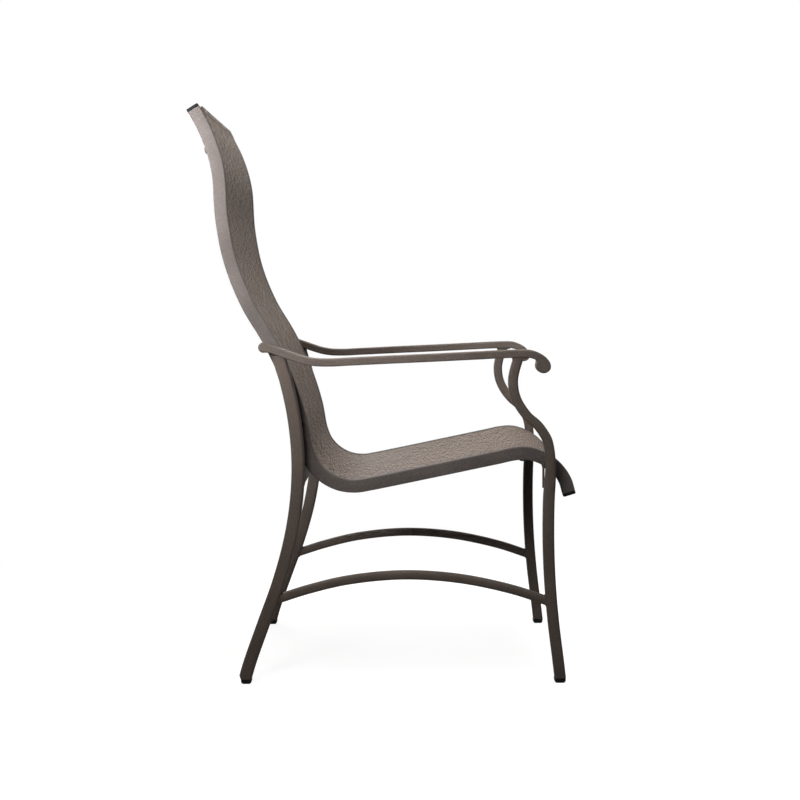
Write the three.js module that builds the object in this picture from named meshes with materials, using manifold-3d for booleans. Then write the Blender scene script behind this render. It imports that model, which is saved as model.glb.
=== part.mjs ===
// Sling patio dining chair with a tall back: two cast arms, four curved tube legs, two curved
// extruded rails and one sheet of woven sling stretched between them.
// Millimetres, +Z up, front towards -Y, the sitter's left towards +X, feet on z = 0.

import * as THREE from 'three';
import { mergeVertices } from 'three/addons/utils/BufferGeometryUtils.js';
import Module from 'manifold-3d';

const wasm = await Module();
wasm.setup();

// Whole chair
const CHAIR_WIDTH = 620;
const CHAIR_DEPTH = 744;
const CHAIR_HEIGHT = 1112;
const FIT_GAP = 0.3;
const CUT_OVERRUN = 5;
const HALF_SHARE = 0.5;
const QUARTER_TURN = Math.PI * HALF_SHARE;
const FULL_TURN = Math.PI * 2;

// Legs: upright flattened tubes, wider across the chair than they are deep
const LEG_WIDTH = 30;
const LEG_INSET = 3;
const LEG_WALL = 2;
const LEG_CORNER = 5;
const REAR_LEG_DEPTH = 24.5;
const FRONT_LEG_DEPTH = 21.5;
const FRONT_LEG_NECK_DEPTH = 18.5;
const LEG_WELD_FLARE = 9;
const LEG_SOLID_TOP = 24;

// Arms: one flat casting each, with a knob behind and a scroll in front
const ARM_WIDTH = 36;
const ARM_THICKNESS = 15;
const ARM_CORNER = 5;
const SCROLL_NECK_THICKNESS = 12.5;
const SCROLL_RADIUS = 14.8;
const SCROLL_WIDTH = 34;
const KNOB_RADIUS = 10.2;
const KNOB_WIDTH = 35;
const ROLL_EDGE = 3.5;

// Side stretchers
const STRETCHER_DEPTH = 17.5;
const STRETCHER_WIDTH = 20;
const STRETCHER_CORNER = 5;
const STRETCHER_WALL = 1.8;

// Rear crossbar, a deep flattened tube from leg to leg
const CROSSBAR_HEIGHT = 50;
const CROSSBAR_DEPTH = 22;
const CROSSBAR_CORNER = 10;
const CROSSBAR_WALL = 2;

// Sling rails: an extrusion with a round channel for the edge of the sling
const RAIL_DEPTH = 25;
const RAIL_WIDTH = 22;
const RAIL_WALL = 1.7;
const RAIL_CORNER = 2;
const RAIL_SPACING = 6;
const CHANNEL_RADIUS = 3.9;
const SLOT_WIDTH = 2.4;
const SLOT_LIP = 2.4;
const RAIL_CAP_PLATE = 4;
const RAIL_CAP_PLUG = 7;
const RAIL_CAP_CLEARANCE = 0.9;

// Sling cloth and the rods that hold its hems in the channels
const CLOTH_THICKNESS = 1.2;
const HEM_CLEARANCE = 0.6;
const HEM_WALL = 1;
const SPLINE_CLEARANCE = 0.4;

// Spreader bars between the rails, each with a flat tongue that enters the rails
const SPREADER_THICKNESS = 14;
const SPREADER_WIDTH = 26;
const SPREADER_CORNER = 5;
const SPREADER_DROP = 2;
const TONGUE_THICKNESS = 5;
const TONGUE_WIDTH = 18;
const TONGUE_END_GAP = 3;

// Screws and bolts
const SCREW_SHANK_RADIUS = 2.4;
const SCREW_HEAD_RADIUS = 6.5;
const SCREW_HEAD_HEIGHT = 2.6;
const BOLT_SHANK_RADIUS = 3;
const BOLT_HEAD_RADIUS = 6;
const BOLT_HEAD_HEIGHT = 3.8;
const BOLT_GRIP_IN_LEG = 8;
const SPACER_RADIUS = 9;

// Seat bracket, a plate between the front leg and the rail
const BRACKET_FRONT_REACH = 8;
const BRACKET_REAR_REACH = 14.5;
const BRACKET_WING = 10;
const BRACKET_DROP = 42;
const BRACKET_RISE = 12;
const BRACKET_STRAP = 3;
const BRACKET_SLOT_WIDTH = 6.5;
const BRACKET_SLOT_DROP = 38;
const BRACKET_SLOT_RISE = 6;

// Foot glides
const GLIDE_HEIGHT = 10;
const GLIDE_WIDTH = 27;
const GLIDE_DEPTH = 20;
const GLIDE_CORNER = 5;
const GLIDE_BEVEL = 1.6;
const GLIDE_PLUG = 15;
const GLIDE_CLEARANCE = 0.4;

// Side view tables: share of the depth from the front, share of the height from the floor
const RAIL_LINE_SHARES = [
  [0.0204, 0.3302], [0.0293, 0.3498], [0.0465, 0.3681], [0.0707, 0.3829], [0.0995, 0.3931],
  [0.1320, 0.3983], [0.1665, 0.3966], [0.2019, 0.3915], [0.2767, 0.3812], [0.3867, 0.3661],
  [0.4974, 0.3511], [0.5368, 0.3460], [0.5780, 0.3420], [0.6199, 0.3459], [0.6572, 0.3588],
  [0.6871, 0.3800], [0.7036, 0.4066], [0.7179, 0.4572], [0.7507, 0.5271], [0.7965, 0.5942],
  [0.8550, 0.6619], [0.8966, 0.7337], [0.9175, 0.8089], [0.9245, 0.8854], [0.9360, 0.9213],
  [0.9544, 0.9558], [0.9780, 0.9874], [0.9866, 0.9966],
];
const FRONT_LEG_LINE_SHARES = [
  [0.0430, -0.0090], [0.0507, 0.0360], [0.0638, 0.1080], [0.0726, 0.1800], [0.0762, 0.2520],
  [0.0748, 0.3240], [0.0710, 0.3600], [0.0708, 0.3870], [0.0731, 0.4049], [0.0793, 0.4235],
  [0.0906, 0.4374], [0.1062, 0.4508], [0.1266, 0.4624], [0.1430, 0.4758], [0.1554, 0.4896],
  [0.1632, 0.5033], [0.1667, 0.5171], [0.1668, 0.5307], [0.1629, 0.5442], [0.1569, 0.5577],
  [0.1500, 0.5720],
];
const REAR_LEG_LINE_SHARES = [
  [0.8798, -0.0090], [0.8548, 0.0362], [0.8158, 0.1079], [0.7765, 0.1796], [0.7462, 0.2515],
  [0.7282, 0.3237], [0.7238, 0.3957], [0.7335, 0.4674], [0.7531, 0.5304], [0.7633, 0.5528],
  [0.7708, 0.5730],
];
const ARM_LINE_SHARES = [
  [0.8082, 0.5863], [0.7826, 0.5814], [0.7517, 0.5742], [0.7261, 0.5681], [0.7006, 0.5631],
  [0.6750, 0.5603], [0.6360, 0.5596], [0.5849, 0.5611], [0.4828, 0.5640], [0.3794, 0.5667],
  [0.2772, 0.5697], [0.1979, 0.5721], [0.1616, 0.5729], [0.1379, 0.5731], [0.1267, 0.5727],
  [0.1163, 0.5713], [0.1060, 0.5687], [0.0959, 0.5651], [0.0876, 0.5608], [0.0813, 0.5556],
  [0.0784, 0.5500],
];
const STRETCHER_LINE_SHARES = [
  [0.0706, 0.1408], [0.1694, 0.1629], [0.3078, 0.1827], [0.4530, 0.1894], [0.5941, 0.1811],
  [0.6962, 0.1656], [0.7950, 0.1448],
];

// Shares along the rails' line, counted from the front end of the seat
const SEAT_SPREADER_SHARE = 0.193;
const BACK_SPREADER_SHARE = 0.897;
const FRONT_BOLT_SHARE = 0.102;
const LOWER_REAR_BOLT_SHARE = 0.625;
const UPPER_REAR_BOLT_SHARE = 0.67;

// Height of the rear crossbar's centre and place of the scroll in the side view
const CROSSBAR_RISE_SHARE = 0.363;
const SCROLL_PLACE_SHARES = [0.0897, 0.5526];

const SCROLL_NECK_SHARE = 0.8;
const FRONT_NECK_START_SHARE = 0.24;
const FRONT_NECK_END_SHARE = 0.36;
const GLIDE_LINE_SHARE = 0.09;
const BOLT_HEAD_TOP_SHARE = 0.7;

const RAIL_STEPS = 44;
const LEG_STEPS = 16;
const ARM_STEPS = 26;
const STRETCHER_STEPS = 12;
const FLARE_STEPS = 5;
const CHANNEL_STEPS = 7;
const HEM_STEPS = 6;
const HEM_BORE_POINTS = 6;
const BISECTIONS = 30;
const BRACKET_CURVE_STEPS = 8;
const CORNER_POINTS = 3;
const ROUND_POINTS = 10;

// Places across the chair that the sizes above fix
const legCentre = CHAIR_WIDTH * HALF_SHARE - LEG_INSET - LEG_WIDTH * HALF_SHARE;
const legInnerFace = legCentre - LEG_WIDTH * HALF_SHARE;
const railOuterFace = legInnerFace - RAIL_SPACING;
const railCentre = railOuterFace - RAIL_WIDTH * HALF_SHARE;
const railInnerFace = railOuterFace - RAIL_WIDTH;

// Places in the rail's section: x towards the outside of the chair, y towards the sitter
const channelX = RAIL_WALL + CHANNEL_RADIUS - RAIL_WIDTH * HALF_SHARE;
const channelY = RAIL_DEPTH * HALF_SHARE - RAIL_WALL - CHANNEL_RADIUS;
const slotTop = RAIL_DEPTH * HALF_SHARE - SLOT_LIP;
const slotBottom = slotTop - SLOT_WIDTH;
const clothY = (slotTop + slotBottom) * HALF_SHARE;
const webX = channelX + CHANNEL_RADIUS + RAIL_WALL;
const webY = channelY - CHANNEL_RADIUS - RAIL_WALL;
const cavityBottom = RAIL_WALL - RAIL_DEPTH * HALF_SHARE;
const fittingDrop = -(webY + cavityBottom) * HALF_SHARE;

// The sling's hems fit the channels and the splines fit the hems
const hemCentre = railCentre + channelX;
const hemRadius = CHANNEL_RADIUS - HEM_CLEARANCE;
const hemBoreRadius = hemRadius - HEM_WALL;
const splineRadius = hemBoreRadius - SPLINE_CLEARANCE;
const tongueReach = RAIL_WIDTH - RAIL_WALL - TONGUE_END_GAP;

// Finishes
const paint = { color: 0x4f4641, roughness: 0.5, metalness: 0.35 };
const castPaint = { color: 0x524843, roughness: 0.52, metalness: 0.35 };
const weave = { color: 0x857a70, roughness: 0.85, metalness: 0 };
const plastic = { color: 0x1b1b1c, roughness: 0.55, metalness: 0 };
const cord = { color: 0x2a2927, roughness: 0.6, metalness: 0 };
const steel = { color: 0x5c5550, roughness: 0.42, metalness: 0.8 };

const chair = new THREE.Group();

function addPiece(name, solid, finish) {
  const geometry = toGeometry(solid);
  geometry.computeVertexNormals();
  const mesh = new THREE.Mesh(geometry, new THREE.MeshStandardMaterial(finish));
  mesh.name = name;
  chair.add(mesh);
}

// Solids for joining and cutting

function signedVolume(position, index) {
  const corner = (i) => new THREE.Vector3().fromArray(position, index[i] * 3);
  let sum = 0;
  for (let i = 0; i < index.length; i += 3) {
    sum += corner(i).dot(corner(i + 1).cross(corner(i + 2)));
  }
  return sum;
}

function toSolid(geometry) {
  const bare = geometry.clone();
  bare.deleteAttribute('normal');
  bare.deleteAttribute('uv');
  const merged = mergeVertices(bare);
  const vertProperties = new Float32Array(merged.attributes.position.array);
  const triVerts = new Uint32Array(merged.index.array);
  if (signedVolume(vertProperties, triVerts) < 0) {
    triVerts.reverse();
  }
  return new wasm.Manifold(new wasm.Mesh({ numProp: 3, vertProperties, triVerts }));
}

function toGeometry(solid) {
  const mesh = solid.getMesh();
  const geometry = new THREE.BufferGeometry();
  const count = mesh.vertProperties.length / mesh.numProp;
  const position = new Float32Array(count * 3);
  for (let i = 0; i < count; i += 1) {
    for (let axis = 0; axis < 3; axis += 1) {
      position[i * 3 + axis] = mesh.vertProperties[i * mesh.numProp + axis];
    }
  }
  geometry.setAttribute('position', new THREE.BufferAttribute(position, 3));
  geometry.setIndex(new THREE.BufferAttribute(new Uint32Array(mesh.triVerts), 1));
  return geometry;
}

// Curves in the side view

class StationCurve extends THREE.CatmullRomCurve3 {
  getPointAt(share, target) {
    return this.getPoint(share, target);
  }

  getTangentAt(share, target) {
    return this.getTangent(share, target);
  }
}

function sidePlace([along, up], x) {
  return new THREE.Vector3(x, (along - HALF_SHARE) * CHAIR_DEPTH, up * CHAIR_HEIGHT);
}

function sideCurve(shares, x) {
  return new StationCurve(shares.map((place) => sidePlace(place, x)), false, 'centripetal');
}

// Frame at a place: x across the chair, y along the curve, z towards the sitter, drop below it
function frameAt(point, tangent, drop) {
  const across = new THREE.Vector3(1, 0, 0);
  const up = new THREE.Vector3().crossVectors(across, tangent);
  const place = new THREE.Matrix4().makeBasis(across, tangent, up);
  return place.setPosition(point.clone().addScaledVector(up, -drop));
}

// Frame in the middle of one straight run of the rails, where a fitting sits on flat faces
function railFrame(share, drop) {
  const run = Math.floor(share * RAIL_STEPS);
  const start = railLine.getPoint(run / RAIL_STEPS);
  const end = railLine.getPoint((run + 1) / RAIL_STEPS);
  const middle = start.clone().lerp(end, HALF_SHARE);
  return frameAt(middle, end.sub(start).normalize(), drop);
}

// Outline of a rounded rectangle, counter-clockwise
function roundedOutline(width, depth, corner, pointsPerCorner = CORNER_POINTS) {
  const outline = [];
  const halfWidth = width * HALF_SHARE - corner;
  const halfDepth = depth * HALF_SHARE - corner;
  const signs = [[1, 1], [-1, 1], [-1, -1], [1, -1]];
  signs.forEach(([sideways, upwards], quarter) => {
    for (let i = 0; i < pointsPerCorner; i += 1) {
      const turn = QUARTER_TURN * (quarter + i / (pointsPerCorner - 1));
      outline.push(new THREE.Vector2(
        sideways * halfWidth + corner * Math.cos(turn),
        upwards * halfDepth + corner * Math.sin(turn),
      ));
    }
  });
  return outline;
}

// Loft through rounded rectangles set square to a curve in the side view
function loftAlong(curve, stations, sectionAt) {
  const position = [];
  const index = [];
  let ringSize = 0;
  stations.forEach((share) => {
    const centre = curve.getPoint(share);
    const tangent = curve.getTangent(share);
    const ring = sectionAt(share);
    ringSize = ring.length;
    ring.forEach((p) => {
      position.push(centre.x + p.x, centre.y - tangent.z * p.y, centre.z + tangent.y * p.y);
    });
  });
  for (let s = 0; s < stations.length - 1; s += 1) {
    for (let i = 0; i < ringSize; i += 1) {
      const next = (i + 1) % ringSize;
      const a = s * ringSize + i;
      const b = s * ringSize + next;
      const c = a + ringSize;
      const d = b + ringSize;
      index.push(a, c, b, b, c, d);
    }
  }
  const cap = THREE.ShapeUtils.triangulateShape(sectionAt(stations[0]), []);
  const last = (stations.length - 1) * ringSize;
  cap.forEach(([a, b, c]) => {
    index.push(a, b, c);
    index.push(last + a, last + c, last + b);
  });
  const geometry = new THREE.BufferGeometry();
  geometry.setAttribute('position', new THREE.Float32BufferAttribute(position, 3));
  geometry.setIndex(index);
  return geometry;
}

function evenStations(count, first = 0, last = 1) {
  return Array.from({ length: count + 1 }, (_, i) => first + (last - first) * i / count);
}

// Place on a curve that lies a given distance short of its end
function shareShortOf(curve, distance) {
  const end = curve.getPoint(1);
  let low = 0;
  let high = 1;
  for (let i = 0; i < BISECTIONS; i += 1) {
    const middle = (low + high) * HALF_SHARE;
    if (curve.getPoint(middle).distanceTo(end) > distance) {
      low = middle;
    } else {
      high = middle;
    }
  }
  return high;
}

// Place along the depth where a leg's line crosses a height
function depthAtHeight(curve, height) {
  let low = 0;
  let high = 1;
  for (let i = 0; i < BISECTIONS; i += 1) {
    const middle = (low + high) * HALF_SHARE;
    if (curve.getPoint(middle).z < height) {
      low = middle;
    } else {
      high = middle;
    }
  }
  return curve.getPoint(low).y;
}

function shapeFrom(points) {
  return new THREE.Shape(points.map((p) => new THREE.Vector2(p.x, p.y)));
}

// Straight bar across the chair, centred on x = 0, in a frame on a curve or level
function crossTube(outline, bore, length, place) {
  const shape = shapeFrom(outline);
  if (bore) {
    shape.holes.push(new THREE.Path(bore));
  }
  const geometry = new THREE.ExtrudeGeometry(shape, { depth: length, bevelEnabled: false });
  const lay = new THREE.Matrix4().makeBasis(
    new THREE.Vector3(0, 1, 0),
    new THREE.Vector3(0, 0, 1),
    new THREE.Vector3(1, 0, 0),
  );
  geometry.translate(0, 0, -length * HALF_SHARE);
  geometry.applyMatrix4(lay);
  geometry.applyMatrix4(place);
  return geometry;
}

// Round piece turned about the chair's cross axis, from a profile of [radius, x]
function turnedAcross(profile, y, z, segments = ROUND_POINTS) {
  const points = profile.map(([radius, along]) => new THREE.Vector2(radius, along));
  const geometry = new THREE.LatheGeometry(points, segments);
  geometry.rotateZ(-QUARTER_TURN);
  geometry.translate(0, y, z);
  return geometry;
}

function rodAcross(radius, from, to, y, z, segments = ROUND_POINTS) {
  return turnedAcross([[0, from], [radius, from], [radius, to], [0, to]], y, z, segments);
}

// The lines that the pieces follow, one set for each side
const sides = [['left', 1], ['right', -1]];

function legHollow(depth) {
  return roundedOutline(LEG_WIDTH - LEG_WALL * 2, depth - LEG_WALL * 2, LEG_CORNER - LEG_WALL, 2);
}

// Concave flare where a leg is welded under the arm, by distance from the top of its line
function weldFlare(distance) {
  const rise = ARM_THICKNESS * HALF_SHARE + LEG_WELD_FLARE - distance;
  if (rise <= 0) {
    return 0;
  }
  const inside = Math.min(rise, LEG_WELD_FLARE);
  return LEG_WELD_FLARE - Math.sqrt(LEG_WELD_FLARE ** 2 - inside ** 2);
}

function armSpace(curve) {
  const grown = roundedOutline(
    ARM_WIDTH + FIT_GAP * 2,
    ARM_THICKNESS + FIT_GAP * 2,
    ARM_CORNER + FIT_GAP,
  );
  return toSolid(loftAlong(curve, evenStations(ARM_STEPS), () => grown));
}

function floorSpace(top) {
  const slab = new THREE.BoxGeometry(CHAIR_WIDTH * 2, CHAIR_DEPTH * 2, CHAIR_HEIGHT);
  slab.translate(0, 0, top - CHAIR_HEIGHT * HALF_SHARE);
  return toSolid(slab);
}

const railLine = sideCurve(RAIL_LINE_SHARES, 0);
const boltShares = [FRONT_BOLT_SHARE, LOWER_REAR_BOLT_SHARE, UPPER_REAR_BOLT_SHARE];
const [frontBolt, lowerRearBolt, upperRearBolt] = boltShares.map(
  (share) => new THREE.Vector3().setFromMatrixPosition(railFrame(share, fittingDrop)),
);

// Arms

function armThickness(share) {
  const taper = Math.max(0, (share - SCROLL_NECK_SHARE) / (1 - SCROLL_NECK_SHARE));
  return ARM_THICKNESS + (SCROLL_NECK_THICKNESS - ARM_THICKNESS) * taper;
}

function rolledEnd(centre, radius, width) {
  const half = width * HALF_SHARE;
  const profile = [
    [0, -half], [radius - ROLL_EDGE, -half], [radius, ROLL_EDGE - half],
    [radius, half - ROLL_EDGE], [radius - ROLL_EDGE, half], [0, half],
  ];
  const roll = turnedAcross(profile, centre.y, centre.z, ROUND_POINTS * 2);
  roll.translate(centre.x, 0, 0);
  return toSolid(roll);
}

function makeArm(x) {
  const curve = sideCurve(ARM_LINE_SHARES, x);
  const bar = toSolid(loftAlong(curve, evenStations(ARM_STEPS), (share) => (
    roundedOutline(ARM_WIDTH, armThickness(share), ARM_CORNER)
  )));
  const knob = rolledEnd(curve.getPoint(0), KNOB_RADIUS, KNOB_WIDTH);
  const scroll = rolledEnd(sidePlace(SCROLL_PLACE_SHARES, x), SCROLL_RADIUS, SCROLL_WIDTH);
  return bar.add(knob).add(scroll);
}

// Legs

function legSolid(curve, depthAt, x, boltPlaces) {
  const end = curve.getPoint(1);
  const flareStart = shareShortOf(curve, ARM_THICKNESS * HALF_SHARE + LEG_WELD_FLARE);
  const flareEnd = shareShortOf(curve, ARM_THICKNESS * HALF_SHARE);
  const stations = [
    ...evenStations(LEG_STEPS, 0, flareStart),
    ...evenStations(FLARE_STEPS, flareStart, flareEnd).slice(1),
    1,
  ];
  const outer = toSolid(loftAlong(curve, stations, (share) => {
    const flare = weldFlare(curve.getPoint(share).distanceTo(end));
    return roundedOutline(LEG_WIDTH, depthAt(share) + flare * 2, LEG_CORNER);
  }));
  const hollowEnd = shareShortOf(curve, LEG_SOLID_TOP);
  const hollow = toSolid(loftAlong(curve, evenStations(LEG_STEPS, 0, hollowEnd), (share) => (
    legHollow(depthAt(share))
  )));
  const armLine = sideCurve(ARM_LINE_SHARES, x);
  let leg = outer.subtract(hollow).subtract(armSpace(armLine)).subtract(floorSpace(GLIDE_HEIGHT));
  boltPlaces.forEach((place) => {
    const side = Math.sign(x);
    const near = (legInnerFace - CUT_OVERRUN) * side;
    const far = (legInnerFace + BOLT_GRIP_IN_LEG + FIT_GAP) * side;
    const reach = BOLT_SHANK_RADIUS + FIT_GAP;
    const hole = rodAcross(reach, Math.min(near, far), Math.max(near, far), place.y, place.z);
    leg = leg.subtract(toSolid(hole));
  });
  return leg;
}

function frontLegDepth(share) {
  const taper = THREE.MathUtils.smoothstep(share, FRONT_NECK_START_SHARE, FRONT_NECK_END_SHARE);
  return FRONT_LEG_DEPTH + (FRONT_LEG_NECK_DEPTH - FRONT_LEG_DEPTH) * taper;
}

function rearLegDepth() {
  return REAR_LEG_DEPTH;
}

// Foot glide: a plug that follows the tube and a level foot under its cut end
function makeGlide(x, curve, depthAt) {
  const low = evenStations(2, 0, GLIDE_LINE_SHARE);
  const slabTop = GLIDE_HEIGHT - FIT_GAP;
  const plugSlab = new THREE.BoxGeometry(CHAIR_WIDTH * 2, CHAIR_DEPTH * 2, GLIDE_PLUG);
  plugSlab.translate(0, 0, slabTop + GLIDE_PLUG * HALF_SHARE - FIT_GAP);
  const plug = toSolid(loftAlong(curve, low, (share) => roundedOutline(
    LEG_WIDTH - (LEG_WALL + GLIDE_CLEARANCE) * 2,
    depthAt(share) - (LEG_WALL + GLIDE_CLEARANCE) * 2,
    LEG_CORNER - LEG_WALL,
    2,
  )));
  const foot = new THREE.ExtrudeGeometry(
    shapeFrom(roundedOutline(GLIDE_WIDTH, GLIDE_DEPTH, GLIDE_CORNER)),
    {
      depth: GLIDE_HEIGHT,
      bevelThickness: GLIDE_BEVEL,
      bevelSize: GLIDE_BEVEL,
      bevelOffset: -GLIDE_BEVEL,
      bevelSegments: 2,
    },
  );
  foot.translate(x, depthAtHeight(curve, GLIDE_HEIGHT), GLIDE_BEVEL);
  return plug.intersect(toSolid(plugSlab)).add(toSolid(foot).intersect(floorSpace(slabTop)));
}

// Side stretchers, coped to the legs that they are welded to
function makeStretcher(x, legs) {
  const curve = sideCurve(STRETCHER_LINE_SHARES, x);
  const stations = evenStations(STRETCHER_STEPS);
  const outline = roundedOutline(STRETCHER_WIDTH, STRETCHER_DEPTH, STRETCHER_CORNER);
  const bore = roundedOutline(
    STRETCHER_WIDTH - STRETCHER_WALL * 2,
    STRETCHER_DEPTH - STRETCHER_WALL * 2,
    STRETCHER_CORNER - STRETCHER_WALL,
    2,
  );
  let tube = toSolid(loftAlong(curve, stations, () => outline));
  tube = tube.subtract(toSolid(loftAlong(curve, stations, () => bore)));
  legs.forEach(([legCurve, depthAt]) => {
    const space = loftAlong(legCurve, evenStations(LEG_STEPS), (share) => (
      roundedOutline(LEG_WIDTH + FIT_GAP * 2, depthAt(share) + FIT_GAP * 2, LEG_CORNER)
    ));
    tube = tube.subtract(toSolid(space));
  });
  return tube;
}

// Sling rails

function railSection(side) {
  const halfWidth = RAIL_WIDTH * HALF_SHARE;
  const halfDepth = RAIL_DEPTH * HALF_SHARE;
  const topTurn = Math.PI - Math.asin((slotTop - channelY) / CHANNEL_RADIUS);
  const bottomTurn = Math.PI - Math.asin((slotBottom - channelY) / CHANNEL_RADIUS);
  const channel = evenStations(CHANNEL_STEPS).map((share) => {
    const turn = bottomTurn + (topTurn + FULL_TURN - bottomTurn) * share;
    return [channelX + CHANNEL_RADIUS * Math.cos(turn), channelY + CHANNEL_RADIUS * Math.sin(turn)];
  });
  const outline = [
    [-halfWidth, slotBottom], ...channel, [-halfWidth, slotTop],
    [-halfWidth, halfDepth - RAIL_CORNER], [RAIL_CORNER - halfWidth, halfDepth],
    [halfWidth - RAIL_CORNER, halfDepth], [halfWidth, halfDepth - RAIL_CORNER],
    [halfWidth, RAIL_CORNER - halfDepth], [halfWidth - RAIL_CORNER, -halfDepth],
    [RAIL_CORNER - halfWidth, -halfDepth], [-halfWidth, RAIL_CORNER - halfDepth],
  ];
  const inside = halfWidth - RAIL_WALL;
  const cavity = [
    [-inside, cavityBottom], [inside, cavityBottom],
    [inside, halfDepth - RAIL_WALL], [webX, halfDepth - RAIL_WALL], [webX, webY], [-inside, webY],
  ];
  const flip = ([x, y]) => new THREE.Vector2(-side * x, y);
  const shape = new THREE.Shape(outline.map(flip));
  shape.holes.push(new THREE.Path(cavity.map(flip)));
  return shape;
}

function sweepRail(shape, x) {
  const curve = sideCurve(RAIL_LINE_SHARES, x);
  return new THREE.ExtrudeGeometry(shape, { steps: RAIL_STEPS, extrudePath: curve });
}

function tongueBox(grow, length, share) {
  const box = new THREE.BoxGeometry(length, TONGUE_WIDTH + grow * 2, TONGUE_THICKNESS + grow * 2);
  return box.applyMatrix4(railFrame(share, fittingDrop));
}

function spreaderScrew(share, side, grow) {
  const shank = SCREW_SHANK_RADIUS + grow;
  const underHead = fittingDrop - RAIL_DEPTH * HALF_SHARE - FIT_GAP;
  const tip = TONGUE_THICKNESS * HALF_SHARE + FIT_GAP;
  const points = [[0, tip], [shank, tip], [shank, underHead]];
  if (grow === 0) {
    points.push([SCREW_HEAD_RADIUS, underHead]);
    points.push([SCREW_HEAD_RADIUS - SCREW_HEAD_HEIGHT * HALF_SHARE, underHead - SCREW_HEAD_HEIGHT]);
    points.push([0, underHead - SCREW_HEAD_HEIGHT]);
  } else {
    points.push([shank, underHead - CUT_OVERRUN]);
    points.push([0, underHead - CUT_OVERRUN]);
  }
  const profile = points.map(([radius, along]) => new THREE.Vector2(radius, along)).reverse();
  const screw = new THREE.LatheGeometry(profile, ROUND_POINTS);
  screw.rotateX(QUARTER_TURN);
  screw.translate(side * railCentre, 0, 0);
  return screw.applyMatrix4(railFrame(share, fittingDrop));
}

function makeRail(side) {
  let rail = toSolid(sweepRail(railSection(side), side * railCentre));
  [SEAT_SPREADER_SHARE, BACK_SPREADER_SHARE].forEach((share) => {
    const slot = tongueBox(FIT_GAP, (railInnerFace + RAIL_WALL + FIT_GAP) * 2, share);
    rail = rail.subtract(toSolid(slot));
    rail = rail.subtract(toSolid(spreaderScrew(share, side, FIT_GAP)));
  });
  [frontBolt, lowerRearBolt, upperRearBolt].forEach((place) => {
    const near = side * (railInnerFace - CUT_OVERRUN);
    const far = side * (railOuterFace + CUT_OVERRUN);
    const reach = BOLT_SHANK_RADIUS + FIT_GAP;
    const hole = rodAcross(reach, Math.min(near, far), Math.max(near, far), place.y, place.z);
    rail = rail.subtract(toSolid(hole));
  });
  return rail;
}

// Rail end cap: a plate over the end and a short plug inside it
function makeRailCap(side, share) {
  const direction = share === 0 ? -1 : 1;
  const plateOutline = roundedOutline(RAIL_WIDTH, RAIL_DEPTH, RAIL_CORNER, 2);
  const plate = new THREE.ExtrudeGeometry(shapeFrom(plateOutline), {
    depth: RAIL_CAP_PLATE,
    bevelEnabled: false,
  });
  const plugWidth = RAIL_WIDTH - (RAIL_WALL + RAIL_CAP_CLEARANCE) * 2;
  const plugTop = webY - RAIL_CAP_CLEARANCE;
  const plugBottom = cavityBottom + RAIL_CAP_CLEARANCE;
  const plugEnd = FIT_GAP + RAIL_CAP_PLATE * HALF_SHARE;
  const plugLength = RAIL_CAP_PLUG + plugEnd;
  const plug = new THREE.BoxGeometry(plugWidth, plugTop - plugBottom, plugLength);
  plug.translate(0, (plugTop + plugBottom) * HALF_SHARE, plugEnd - plugLength * HALF_SHARE);
  plate.translate(0, 0, FIT_GAP);
  const cap = toGeometry(toSolid(plate).add(toSolid(plug)));
  const curve = sideCurve(RAIL_LINE_SHARES, side * railCentre);
  const tangent = curve.getTangent(share);
  const up = new THREE.Vector3().crossVectors(new THREE.Vector3(1, 0, 0), tangent);
  tangent.multiplyScalar(direction);
  const across = new THREE.Vector3().crossVectors(up, tangent);
  const place = new THREE.Matrix4().makeBasis(across, up, tangent);
  return cap.applyMatrix4(place.setPosition(curve.getPoint(share)));
}

// Sling: one sheet whose hems wrap the rods inside the rails' channels
function slingShape() {
  const top = clothY + CLOTH_THICKNESS * HALF_SHARE;
  const bottom = clothY - CLOTH_THICKNESS * HALF_SHARE;
  const topTurn = Math.asin((top - channelY) / hemRadius);
  const bottomTurn = Math.asin((bottom - channelY) / hemRadius);
  const hem = evenStations(HEM_STEPS).map((share) => {
    const turn = topTurn + (FULL_TURN + bottomTurn - topTurn) * share;
    return [hemRadius * Math.cos(turn), hemRadius * Math.sin(turn)];
  });
  const left = hem.map(([x, y]) => new THREE.Vector2(-hemCentre + x, channelY + y));
  const right = hem.map(([x, y]) => new THREE.Vector2(hemCentre - x, channelY + y)).reverse();
  const shape = new THREE.Shape([...left, ...right]);
  [-1, 1].forEach((side) => {
    const bore = evenStations(HEM_BORE_POINTS - 1, 0, 1 - 1 / HEM_BORE_POINTS).map((share) => (
      new THREE.Vector2(
        side * hemCentre + hemBoreRadius * Math.cos(FULL_TURN * share),
        channelY + hemBoreRadius * Math.sin(FULL_TURN * share),
      )
    ));
    shape.holes.push(new THREE.Path(bore));
  });
  return shape;
}

function splineShape(side) {
  const points = evenStations(HEM_BORE_POINTS - 1, 0, 1 - 1 / HEM_BORE_POINTS).map((share) => (
    new THREE.Vector2(
      -side * channelX + splineRadius * Math.cos(FULL_TURN * share),
      channelY + splineRadius * Math.sin(FULL_TURN * share),
    )
  ));
  return new THREE.Shape(points);
}

// Spreader bars: a tube between the rails with a flat tongue through it
function makeSpreader(share) {
  const place = railFrame(share, SPREADER_DROP);
  const outline = roundedOutline(SPREADER_WIDTH, SPREADER_THICKNESS, SPREADER_CORNER);
  const length = (railInnerFace - FIT_GAP) * 2;
  const tube = crossTube(outline, null, length, place);
  const tongue = tongueBox(0, (railInnerFace + tongueReach) * 2, share);
  let bar = toSolid(tube).add(toSolid(tongue));
  sides.forEach(([, side]) => {
    bar = bar.subtract(toSolid(spreaderScrew(share, side, FIT_GAP)));
  });
  return bar;
}

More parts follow.
